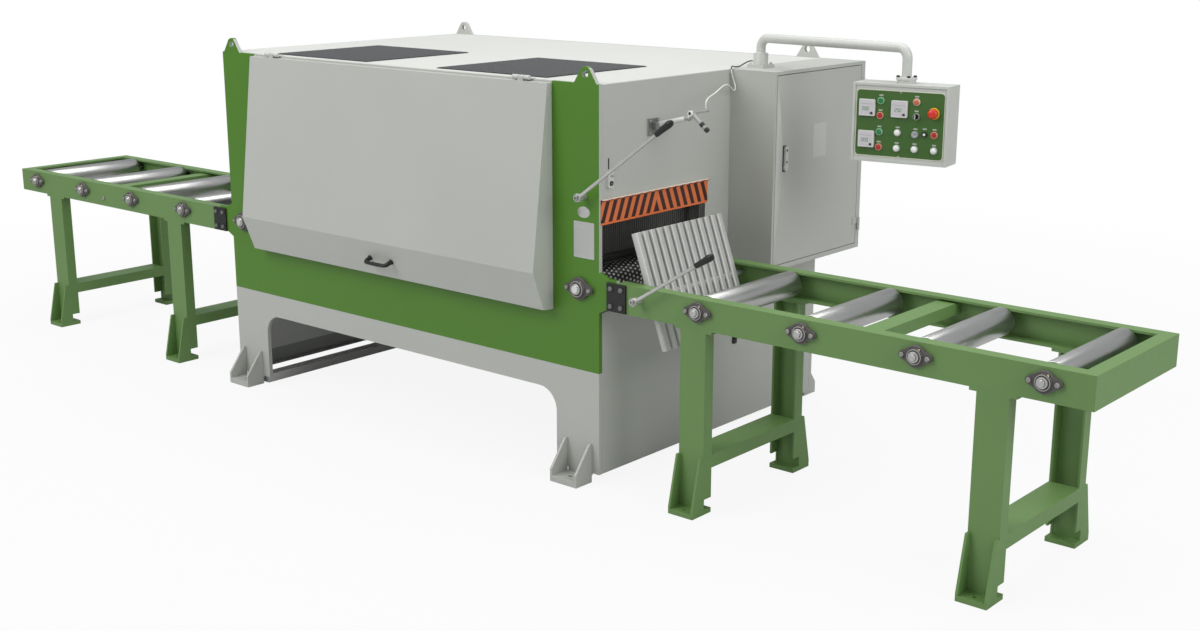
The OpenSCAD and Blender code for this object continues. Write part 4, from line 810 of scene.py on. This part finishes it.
class SAW_OT_grips(SawOperator):
    """Black bow handle of the hood, and moulded grips on the two gate levers."""

    bl_idname = "rip_saw.grips"
    bl_label = "Lever grips"

    def execute(self, context):
        out = np.array([0.0, -math.cos(BOW_LEAN), -math.sin(BOW_LEAN)])
        half = np.array(BOW_HALF) * MM
        route = np.concatenate([half, half[::-1] * (-1, 1)])
        path = smooth_route(BOW_FOOT + route[:, :1] * EAST + route[:, 1:] * out, 5)
        radii = np.interp((path - BOW_FOOT) @ out / MM, (0, 3, 5, 30, 38), (13, 13, 10.5, 10, 8.5))
        bow = piece("handle_bow", [tube(path, radii, 18, np.cross(EAST, out))], "grip black",
                    "hood")
        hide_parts("hood_handle")
        for gate, length, rise in (("upper", 577, math.radians(36)), ("lower", 446, math.radians(32))):
            along = np.array([math.cos(rise), 0.0, math.sin(rise)])
            start = lever_eye(gate, 14) + (length - 92) * MM * along
            piece(gate + "_gate_grip", [turned(GRIP, start, along, 28)], "grip black",
                  gate + "_gate")
        return {"FINISHED"}


# Control plate

FACE_W, FACE_H = 367, 262
METERS = ((0.126, 0.266), (0.499, 0.262), (0.127, 0.748))
READINGS = ("000", "250", "000")
LAMPS = ((0.483, 0.625), (0.48, 0.865), (0.685, 0.862), (0.906, 0.862))
STARTS = ((0.28, 0.151), (0.273, 0.63))
STOPS = ((0.277, 0.379), (0.273, 0.865), (0.903, 0.624))
SELECTOR, RING_LAMP, KEY = (0.691, 0.362), (0.688, 0.142), (0.686, 0.633)
JACK, STOP = (0.793, 0.624), (0.887, 0.30)
SEGMENTS = ((0, 1, True), (1, 0.5, False), (1, -0.5, False), (0, -1, True), (-1, -0.5, False),
            (-1, 0.5, False), (0, 0, True))
DIGITS = {"0": (0, 1, 2, 3, 4, 5), "2": (0, 1, 3, 4, 6), "5": (0, 2, 3, 5, 6)}
METER_KNOB = ((5, 0), (5, 3.5), (4.2, 4.6), (0, 5))
KEY_BARREL = ((9.3, 8), (9.1, 9.2), (7, 9.6), (0, 9.6))
JACK_PLUG = ((5.6, 5), (5.4, 6.4), (3.6, 7.0), (0, 7.1))
STOP_COLLAR = ((23, 0), (23, 3.5), (21.5, 4.8), (18.5, 4.4), (13, 1.8), (5.4, 1.6))
BORDER = ((7, -2), (7, 0.5), (6, 0.9), (1.6, 0.9), (0.8, 0.5), (0.8, -2))


def face_frame():
    """Middle and axes of the control plate: across, up and outward, from the selector's joint."""
    out = np.array(JOINTS["selector_turn"]["axis"], float)
    across = np.cross(UP, out)
    aside = (SELECTOR[0] - 0.5) * FACE_W * across + (0.5 - SELECTOR[1]) * FACE_H * UP
    return pivot("selector_turn") - MM * aside, across, UP, out


def on_face(at, rise=0.0, right=0.0, higher=0.0):
    """Point on the control plate at shares of its width and height from the upper left, then moved outward,
    right and up in millimetres."""
    centre, across, up, out = face_frame()
    x, y = (at[0] - 0.5) * FACE_W + right, (0.5 - at[1]) * FACE_H + higher
    return centre + MM * (x * across + y * up + rise * out)


def face_pad(size, rise, place, corner, edge, per_corner=6):
    """Pad that lies flat on the control plate."""
    _, across, up, _ = face_frame()
    return pad(size, rise, place, across, up, corner, edge, per_corner)


def face_turned(profile, place, sides):
    """Turning that stands square on the control plate."""
    return turned(profile, place, face_frame()[3], sides)


def figures(text, at):
    """Seven-segment figures of a meter: a bar for each lit segment at its place in the figure's cell."""
    height, pitch, thick, shift = 13, 10.14, 1.82, -4
    parts = []
    for k, sign in enumerate(text):
        middle = shift + (k - (len(text) - 1) / 2) * pitch
        for number in DIGITS[sign]:
            x, y, wide = SEGMENTS[number]
            size = (0.5 * height, thick) if wide else (thick, 0.5 * height)
            place = on_face(at, 10.8, middle + 0.25 * x * height, shift + 0.5 * y * height)
            parts.append(face_pad(size, 0.25, place, 0.3, 0.1, 2))
    return parts


def dome(at):
    """Round lamp cap: a short wall, then an ellipse up to the crown."""
    radius, base, wall, crown = 11.6, 3.5, 7.595, 5.005
    a = np.linspace(0, np.pi / 2, 7)
    arc = np.stack([radius * np.cos(a), wall + crown * np.sin(a)], -1)
    return face_turned(np.concatenate([[(radius, base)], arc]), on_face(at), 32)


def ring(at, radius=14.9, inner=11.0, rise=5.7):
    """Bezel ring on the control plate with a sloped top."""
    wall = [(radius, 0), (radius, 0.62 * rise), (radius - 1.3, 0.95 * rise)]
    return face_turned(wall + [(inner + 0.1, rise), (inner, 0.7 * rise)], on_face(at), 36)


def plate_edge_highlight():
    """Raised border painted pale as the highlight on the plate's edge: rounded rectangles wider than the
    control plate by d, at the height z.
    """
    centre, across, up, out = face_frame()
    axes = np.array([across, up])
    loops = [outline(FACE_W + d, FACE_H + d, 13 + d / 2, 8) @ axes + z * out for d, z in BORDER]
    return sheet_of(centre + MM * np.array(loops), wrap_v=True)


class SAW_OT_panel_dress(SawOperator):
    """Border painted pale as an edge highlight, meters, button rings, lamps, key switch, stop collar and
    blank labels on the control plate.
    """

    bl_idname = "rip_saw.panel_dress"
    bl_label = "Control plate fittings"

    def execute(self, context):
        named = STARTS + STOPS + LAMPS + (RING_LAMP, KEY, JACK, SELECTOR)
        labels = [face_pad((17, 5.5), 0.5, on_face(at, 0, 0, 21.5), 0.6, 0.2) for at in named]
        signs = [bar for at, text in zip(METERS, READINGS) for bar in figures(text, at)]
        for name, parts, finish, slot in (
                # cream border: painted highlight along the plate's edge
                ("plate_edge_highlight", [plate_edge_highlight()], "painted edge highlight", "body_grey"),
                ("meter_frames", [face_pad((67, 67), 10.6, on_face(at), 3, 1.2) for at in METERS],
                 "meter grey", "panel_green"),
                ("meter_faces", [face_pad((59, 57), 0.5, on_face(at, 10.4, 0, 2), 2, 0.2) for at in METERS],
                 "meter face", "panel_green"),
                ("meter_lines", [face_pad((52, 1), 0.3, on_face(at, 10.8, 0, 15), 0.4, 0.1) for at in METERS],
                 "line grey", "panel_green"),
                ("meter_figures", signs, "figure green", "green_plastic"),
                ("meter_knobs", [face_turned(METER_KNOB, on_face(at, 10.4, 21, -21), 20) for at in METERS],
                 "knob black", "black_plastic"),
                ("start_rings", [ring(at) for at in STARTS], "ring green", "green_plastic"),
                ("stop_rings", [ring(at) for at in STOPS], "ring red", "red_plastic"),
                ("lamp_rings", [ring(at) for at in LAMPS], "ring grey", "panel_green"),
                ("selector_ring", [ring(SELECTOR)], "ring silver", "black_plastic"),
                ("lamp_domes", [dome(at) for at in LAMPS], "lamp white", "panel_green"),
                ("ring_lamp", [ring(RING_LAMP)], "lamp beige", "red_plastic"),
                ("ring_lamp_dome", [dome(RING_LAMP)], "dome salmon", "red_plastic"),
                ("stop_collar", [face_turned(STOP_COLLAR, on_face(STOP), 40)],
                 "collar yellow", "panel_green"),
                ("key_switch", [ring(KEY, 15, 9, 9)], "key grey", "steel"),
                ("key_barrel", [face_turned(KEY_BARREL, on_face(KEY), 28)], "bezel chrome", "steel"),
                # black bar on the key barrel: painted shade of the key's slot
                ("key_slit_shade", [face_pad((1.8, 9), 0.4, on_face(KEY, 9.5), 0.5, 0.1)],
                 "knob black", "black_plastic"),
                ("jack", [ring(JACK, 11.2, 5.5, 7)], "knob black", "black_plastic"),
                ("jack_plug", [face_turned(JACK_PLUG, on_face(JACK), 24)], "lamp white", "panel_green"),
                ("selector_pointer", [face_pad((2.6, 17), 0.5, on_face(SELECTOR, 17.9), 0.6, 0.2)],
                 "lamp white", "black_plastic"),
                ("blank_labels", labels, "label grey", "panel_green")):
            piece(name, parts, finish, "selector_body" if name == "selector_pointer" else "box")
        return {"FINISHED"}


# Control arm

ARM_RADIUS, POST_RADIUS, ARM_BEND = 20, 23.8, 42 * MM
FLANGE = ((15.5, 0), (42, 0), (42, 9.2), (41.2, 10), (22, 10), (20, 12.5))
FLANGE_Z = high("control_box")[2] - 40 * MM


def arm_axes():
    """Pivot of the control box, and the level direction of the arm and the one across it."""
    foot, head = pivot("arm_swing"), pivot("box_swivel")
    along = (head - foot) * LEVEL
    along /= np.linalg.norm(along)
    return head, along, np.cross(UP, along)


class SAW_OT_arm_tube(SawOperator):
    """Tube of the control arm: a circle carried up the post, round two quarter bends and down to a flange."""

    bl_idname = "rip_saw.arm_tube"
    bl_label = "Control arm"

    def execute(self, context):
        head, along, across = arm_axes()
        foot, end = pivot("arm_swing") * LEVEL, head * LEVEL
        spring = high("control_arm")[2] - 28 * MM - ARM_BEND
        a = np.linspace(0, np.pi / 2, 13)[:, None]
        post = [foot + (ROOF_Z + z * MM) * UP for z in (13, 62, 66)]
        first = foot + ARM_BEND * (1 - np.cos(a)) * along + (spring + ARM_BEND * np.sin(a)) * UP
        second = end - ARM_BEND * (1 - np.sin(a)) * along + (spring + ARM_BEND * np.cos(a)) * UP
        path = np.concatenate([post, first, second, [end + FLANGE_Z * UP]])
        radii = np.full(len(path), float(ARM_RADIUS))
        radii[:2] = POST_RADIUS
        parts = [tube(path, radii, 36, across), turned(FLANGE, end + FLANGE_Z * UP, UP, 48)]
        arm = piece("arm_tube", parts, "arm grey", "arm")
        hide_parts("control_arm")
        return {"FINISHED"}


# Bolts and underside

CORNERS = ((-1, -1), (-1, 1), (1, -1), (1, 1))
CAP_SCREW = ((9.5, 0), (9.5, 6.4), (8.6, 7.4), (4.6, 7.4), (4.4, 2.6), (0, 2.6))
WASHER = ((14, 0), (14, 1.4), (13.4, 2), (9, 2))
RAIL_BOSS = ((11, 0), (11, 5), (9.5, 7), (5, 8.2), (0, 8.6))
RAIL_BOSS_AT = (-2.364, FRONT_Y, 0.794)


class SAW_OT_bolts(SawOperator):
    """Bolt heads on the bearings, splice plates, lever eyes and arm flange, and a boss on the table rail."""

    bl_idname = "rip_saw.bolts"
    bl_label = "Bolt heads"

    def execute(self, context):
        heads = [hexagon(16.6, 8.7, place + MM * (sx * b.half * EAST + b.flange * out), out)
                 for place, out, b in bearings() for sx in (-1, 1)]
        piece("bearing_bolts", heads, "bolt plated")
        lo, hi = low("splice_plates"), high("splice_plates")
        heads = []
        for end in (-1, 1):
            for sx, sz in CORNERS:
                x = end * (hi[0] - 48.5 * MM) + sx * 26.5 * MM
                z = 0.5 * (lo[2] + hi[2]) + sz * 36 * MM
                heads += [hexagon(18, 8, (x, y + n * 8 * MM, z), n * NORTH) for y, n in RAIL_SIDES]
        piece("splice_bolts", heads, "bolt grey")
        for gate in ("upper", "lower"):
            eye = lever_eye(gate, 2)
            parts = [turned(WASHER, eye, -NORTH, 28), turned(CAP_SCREW, eye, -NORTH, 24)]
            piece(gate + "_gate_bolt", parts, "bolt steel", gate + "_gate")
        head, along, across = arm_axes()
        top = head * LEVEL + (FLANGE_Z + 10 * MM) * UP
        reach, turn = 34 * MM, 0.7
        ahead, aside = reach * math.cos(turn) * along, reach * math.sin(turn) * across
        heads = [hexagon(12, 7, top + sx * (ahead + sy * aside), UP) for sx, sy in CORNERS]
        piece("arm_bolts", heads, "bolt black", "arm")
        piece("rail_boss", [turned(RAIL_BOSS, RAIL_BOSS_AT, -NORTH, 24)], "bolt steel")
        return {"FINISHED"}


class SAW_OT_underside(SawOperator):
    """Floor beams under the ends of the body, lining of the far end, and packers on the feet."""

    bl_idname = "rip_saw.underside"
    bl_label = "Underside"

    def execute(self, context):
        beam_x, lining_z, foot_top = 1.044, 0.235, 25
        length = (high("rear_plate")[1] - FRONT_Y) / MM - 46
        beams = [pad((60, length), 42, (sx * beam_x, 0.0, 0.0), EAST, NORTH, 2, 1) for sx in (-1, 1)]
        piece("floor_beams", beams, "beam grey")
        lining = pad((length, 250), 1, (-END_X + 7 * MM, 0.0, lining_z), NORTH, UP, 2, 0.4)
        piece("end_lining", [lining], "lining grey")
        rise = low("front_plate")[2] / MM - foot_top + 1
        spots = [(sx * (END_X - 112 * MM), y, (foot_top - 0.5) * MM)
                 for sx in (-1, 1) for y in (FRONT_Y + 10 * MM, -FRONT_Y - 10 * MM)]
        packers = [pad((122, 18), rise, spot, EAST, NORTH, 1, 0.4) for spot in spots]
        piece("foot_packers", packers, "body grey")
        return {"FINISHED"}


# Laser

LASER_Y, LASER_Z, LASER_HEAD = -0.462, 1.455, np.array([1.390, -0.43574, 1.52104])
LASER_FALL, STAY_RISE, STAY_SWING = math.radians(39.3), math.radians(13.9), math.radians(6.4)
LASER_BAND = ((10, 60), (10.6, 60), (10.6, 77), (10, 77))
LASER_NOSE = ((10, 90), (10.6, 90), (10.6, 102.5), (9.8, 103.4), (5, 103.4), (4.6, 102.2), (0, 102.2))
LASER_BORE_SHADE = ((6.6, 0), (6.6, 1.6), (6, 2), (0, 2))
LASER_CAP = ((11.7, -6), (11.7, 0.8), (11, 1.5), (6.5, 1.5))
STAY = ((7.4, 24), (10.5, 24), (10.5, 150), (9.6, 151), (7.4, 151))


class SAW_OT_laser_dress(SawOperator):
    """Sleeve and nose of the laser tube, pale cap on its clamp with painted shade in its bore, and the
    bracket's bolts, stay and block.
    """

    bl_idname = "rip_saw.laser_dress"
    bl_label = "Laser fittings"

    def execute(self, context):
        aim = np.array([math.cos(LASER_FALL), 0.0, -math.sin(LASER_FALL)])
        front = LASER_HEAD - 15 * MM * NORTH
        sleeve = [turned(LASER_BAND, LASER_HEAD, aim), turned(LASER_NOSE, LASER_HEAD, aim)]
        # black disc in the clamp's pale cap: painted shade of its bore
        sleeve.append(turned(LASER_BORE_SHADE, front, -NORTH, 24))
        piece("laser_sleeve", sleeve, "knob black")
        piece("laser_cap", [turned(LASER_CAP, front, -NORTH)], "lamp white")
        face = np.array([END_X + 8 * MM, LASER_Y, LASER_Z])
        heads = [hexagon(12, 5, face + 25 * MM * (sy * NORTH + sz * UP), EAST) for sy, sz in CORNERS]
        piece("laser_bolts", heads, "bolt steel")
        root = np.array([END_X + 4 * MM, LASER_Y + 7 * MM, LASER_Z + 5 * MM])
        level = math.cos(STAY_RISE)
        along = np.array([level * math.cos(STAY_SWING), level * math.sin(STAY_SWING), math.sin(STAY_RISE)])
        block = pad((38, 30), 26, root + 3.4 * MM * EAST, NORTH, UP, 4, 2)
        plate = pad((69, 69), 0.8, face, NORTH, UP, 2, 0.4)
        piece("laser_stay", [turned(STAY, root, along, 28)], "stay steel")
        piece("laser_block", [block, plate], "block steel")
        return {"FINISHED"}


# Ends, door and roof

CATCH_AT = np.array([END_X, -0.7375, 1.272])
LATCH_AT = np.array([END_X, 0.141, 0.440])
CATCH_PIN = ((5, 0), (5, 11), (4, 12), (0, 12))
CATCH_EYE = ((4.5, 0), (4.5, 3), (0, 3.4))
CATCH_RIM = ((10, 0), (10, 3), (9, 4), (5, 4), (4.6, 1))
LATCH_KNOB = ((9, 8), (9, 13), (7.6, 15), (0, 15.4))
LOCK_HOLE_SHADE = ((5.2, 0), (5.2, 0.5), (4.4, 0.8), (0, 0.8))
STRIP_Y = (-0.1305, -0.117, -0.1035)
LINER_COUNT, LINER_FIRST, LINER_PITCH = 7, 12, 13.5
WIRE_COUNT, WIRE_MARGIN, WIRE_RADIUS = 52, 8 * MM, 1.3


class SAW_OT_end_fittings(SawOperator):
    """Catch of the gate lever, and latch, on the end panel."""

    bl_idname = "rip_saw.end_fittings"
    bl_label = "End fittings"

    def execute(self, context):
        face = CATCH_AT + 15 * MM * EAST
        lower = face - 15 * MM * UP
        block = pad((30, 66), 15, CATCH_AT, NORTH, UP, 3, 1.5)
        piece("catch_block", [block], "catch grey")
        pin = turned(CATCH_PIN, face + 16 * MM * UP, EAST, 20)
        piece("catch_pin", [pin, turned(CATCH_EYE, lower, EAST, 20)], "bolt steel")
        strip = pad((5, 44), 2.5, CATCH_AT + 62 * MM * UP, NORTH, UP, 1, 0.6)
        latch = pad((26, 54), 9, LATCH_AT, NORTH, UP, 5, 2)
        parts = [turned(CATCH_RIM, lower, EAST, 24), strip, latch, turned(LATCH_KNOB, LATCH_AT, EAST, 24)]
        piece("end_latch", parts, "bolt black")
        return {"FINISHED"}


class SAW_OT_mouth_lining(SawOperator):
    """Liners on the tunnel's far wall and strips beside the mouth."""

    bl_idname = "rip_saw.mouth_lining"
    bl_label = "Mouth lining"

    def execute(self, context):
        bottom, top = low("upper_fingers")[2], low("mouth_guard")[2] + 90 * MM
        size, mid = (11.4, (top - bottom) / MM), 0.5 * (bottom + top)
        wall = high("inner_plate")[1] - 20 * MM
        liners = [pad(size, 2.4, (END_X - (LINER_FIRST + LINER_PITCH * k) * MM, wall, mid), EAST, UP, 1, 0.5)
                  for k in range(LINER_COUNT)]
        piece("mouth_liners", liners, "liner grey")
        strips = [pad(size, 2.4, (END_X - 3.6 * MM, y, mid), NORTH, UP, 1, 0.5) for y in STRIP_Y]
        piece("mouth_strips", strips, "finger steel")
        return {"FINISHED"}


class SAW_OT_door_lock(SawOperator):
    """Black plate behind the door handle, and black discs on the handle as painted shade in its two holes."""

    bl_idname = "rip_saw.door_lock"
    bl_label = "Door lock"

    def execute(self, context):
        lo, hi = low("door_handle"), high("door_handle")
        y, z = 0.5 * (lo[1] + hi[1]), 0.5 * (lo[2] + hi[2])
        plate = pad((24, 114), 1.6, (DOOR_X, y - 4.5 * MM, z), NORTH, UP, 3, 0.5)
        piece("lock_plate", [plate], "bolt black", "door")
        # black discs on the handle's end: painted shade of its two holes
        holes = [turned(LOCK_HOLE_SHADE, (hi[0] - 0.2 * MM, y, v), EAST, 20)
                 for v in (lo[2] + 38 * MM, hi[2] - 16 * MM)]
        piece("lock_hole_shade", holes, "bolt black", "handle")
        return {"FINISHED"}


class SAW_OT_vent_mesh(SawOperator):
    """Crossed wires over the two roof vents, as thin tubes in two layers."""

    bl_idname = "rip_saw.vent_mesh"
    bl_label = "Vent mesh"

    def execute(self, context):
        lo, hi = low("vent_grilles"), high("vent_grilles")
        side = hi[1] - lo[1]
        under, over = hi[2] + 0.8 * MM, hi[2] + 1.6 * MM
        wires = []
        for x in (lo[0], hi[0] - side):
            for k in np.linspace(WIRE_MARGIN, side - WIRE_MARGIN, WIRE_COUNT):
                wires.append(tube([(x + k, lo[1], under), (x + k, hi[1], under)], WIRE_RADIUS, 5))
                wires.append(tube([(x, lo[1] + k, over), (x + side, lo[1] + k, over)], WIRE_RADIUS, 5))
        piece("vent_mesh", wires, "mesh grey")
        return {"FINISHED"}


# Blank plates

DISC = ((33, 0), (33, 1.2), (32, 1.8), (0, 1.8))
RIVET = ((2.6, 1), (2.4, 2.0), (1.4, 2.7), (0, 2.9))
DISC_AT = (1.126, FRONT_Y, 1.137)
DISC_SQUASH = 0.7
BADGE_AT = np.array([1.1275, FRONT_Y, 1.0235])
DOOR_PLATE_AT = (DOOR_X, 0.43, 1.327)


class SAW_OT_plates(SawOperator):
    """Blank oval disc and blank plate on the front plate, bare plate on the cabinet door."""

    bl_idname = "rip_saw.plates"
    bl_label = "Blank plates"

    def execute(self, context):
        disc, faces = turned(DISC, DISC_AT, -NORTH, 40)
        disc[:, 2] = DISC_AT[2] + DISC_SQUASH * (disc[:, 2] - DISC_AT[2])
        badge = pad((109, 149), 1.2, BADGE_AT, EAST, UP, 4, 0.5)
        spots = [BADGE_AT + MM * (49 * sx * EAST + 69 * sz * UP) for sx, sz in CORNERS]
        rivets = [turned(RIVET, spot, -NORTH, 12) for spot in spots]
        piece("blank_plates", [(disc, faces), badge] + rivets, "plate aluminium")
        door = pad((105, 150), 1, DOOR_PLATE_AT, NORTH, UP, 3, 0.4)
        piece("door_plate", [door], "plate white", "door")
        return {"FINISHED"}


# Stage

FLOOR_HALF = 60.0
# Name, place, target, size and share of the lamp power
STUDIO = (
    ("key", (-2.5, -7.0, 6.0), (0, 0, 0.8), 5.0, 1.0),
    ("top", (0.5, 0.5, 8.0), (0.5, 0, 0), 7.0, 1.2),
    ("side", (8.9, -1.4, 4.6), (1.2, 0.2, 1.1), 4.0, 0.70),
)
CAMERA_AT, CAMERA_TILT, CAMERA_TURN = (5.171, -5.414, 2.279), math.radians(75.67), math.radians(40.60)


def blended(tree, fac, a, b, output):
    """Mixes two shaders by a factor socket into the tree's output node."""
    mix = node(tree, "ShaderNodeMixShader")
    for socket, source in zip(mix.inputs, (fac, a.outputs[0], b.outputs[0])):
        tree.links.new(source, socket)
    tree.links.new(mix.outputs[0], tree.nodes[output].inputs["Surface"])


def floor_material():
    """Pale matt floor, its shadows softened for the camera alone, fading to plain white 2 m to 7 m away."""
    m, tree, shader = blank_material("floor", Base_Color=(0.55, 0.55, 0.55, 1), Roughness=0.7)
    far = math_node(tree, "LENGTH", node(tree, "ShaderNodeTexCoord").outputs["Object"], kind=VECTOR)
    fade = node(tree, "ShaderNodeMapRange", interpolation_type="SMOOTHSTEP", Value=far, From_Min=2.0,
                From_Max=7.0, To_Min=0.9)
    seen = node(tree, "ShaderNodeLightPath").outputs["Is Camera Ray"]
    white = node(tree, "ShaderNodeEmission", Color=(1, 1, 1, 1), Strength=1.0)
    blended(tree, math_node(tree, "MULTIPLY", fade.outputs["Result"], seen), shader, white, "Material Output")
    return m


def studio_world():
    """World with soft daylight on the saw and plain white for the camera."""
    world = bpy.data.worlds.new("studio")
    world.use_nodes = True
    tree = world.node_tree
    back = tree.nodes["Background"]
    back.inputs["Color"].default_value = (0.96, 0.98, 1.0, 1)
    back.inputs["Strength"].default_value = 0.45
    white = node(tree, "ShaderNodeBackground", Color=(1, 1, 1, 1), Strength=1.0)
    blended(tree, node(tree, "ShaderNodeLightPath").outputs["Is Camera Ray"], back, white, "World Output")
    return world


class SAW_OT_stage(SawOperator):
    """Pale floor, soft studio lamps, world and the camera at the photograph's angle."""

    bl_idname = "rip_saw.stage"
    bl_label = "Stage"

    def execute(self, context):
        scene = context.scene
        scene.view_settings.view_transform = "Standard"
        scene.world = studio_world()
        mesh = bpy.data.meshes.new("floor")
        corners = [(sx * FLOOR_HALF, sy * FLOOR_HALF, 0) for sx, sy in ((-1, -1), (1, -1), (1, 1), (-1, 1))]
        mesh.from_pydata(corners, [], [(0, 1, 2, 3)])
        mesh.materials.append(floor_material())
        floor = bpy.data.objects.new("floor", mesh)
        context.collection.objects.link(floor)
        for name, place, target, size, share in STUDIO:
            light = bpy.data.lights.new(name, "AREA")
            light.size = size
            light.energy = settings().lamp * share
            obj = bpy.data.objects.new(name, light)
            obj.location = place
            obj.rotation_euler = (Vector(target) - Vector(place)).to_track_quat("-Z", "Y").to_euler()
            context.collection.objects.link(obj)
        camera = bpy.data.cameras.new("camera")
        camera.sensor_width = 36.0
        camera.lens = 46.70
        eye = bpy.data.objects.new("camera", camera)
        eye.location = CAMERA_AT
        eye.rotation_euler = (CAMERA_TILT, 0.0, CAMERA_TURN)
        context.collection.objects.link(eye)
        scene.camera = eye
        return {"FINISHED"}


class SAW_PT_panel(bpy.types.Panel):
    """Sidebar panel with the saw's settings and steps."""

    bl_idname = "SAW_PT_panel"
    bl_label = "Rip saw"
    bl_space_type = "VIEW_3D"
    bl_region_type = "UI"
    bl_category = "Rip saw"

    def draw(self, context):
        for key in RipSawFinish.__annotations__:
            self.layout.prop(context.scene.rip_saw, key)
        for step in STEPS:
            self.layout.operator(step.bl_idname)


STEPS = (
    SAW_OT_stage, SAW_OT_cord, SAW_OT_body, SAW_OT_running_parts, SAW_OT_gate_bars, SAW_OT_tables,
    SAW_OT_controls, SAW_OT_bearing_inserts, SAW_OT_grips, SAW_OT_panel_dress, SAW_OT_arm_tube, SAW_OT_bolts,
    SAW_OT_underside, SAW_OT_laser_dress, SAW_OT_end_fittings, SAW_OT_mouth_lining, SAW_OT_door_lock,
    SAW_OT_vent_mesh, SAW_OT_plates,
)
CLASSES = (RipSawFinish,) + STEPS + (SAW_PT_panel,)


def register():
    """Adds the classes and the scene's settings."""
    for cls in CLASSES:
        bpy.utils.register_class(cls)
    bpy.types.Scene.rip_saw = bpy.props.PointerProperty(type=RipSawFinish)


def unregister():
    """Takes the settings and classes away again."""
    del bpy.types.Scene.rip_saw
    for cls in reversed(CLASSES):
        bpy.utils.unregister_class(cls)


def main():
    """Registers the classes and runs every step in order."""
    register()
    for step in STEPS:
        area, name = step.bl_idname.split(".")
        getattr(getattr(bpy.ops, area), name)()


if __name__ == "__main__":
    main()
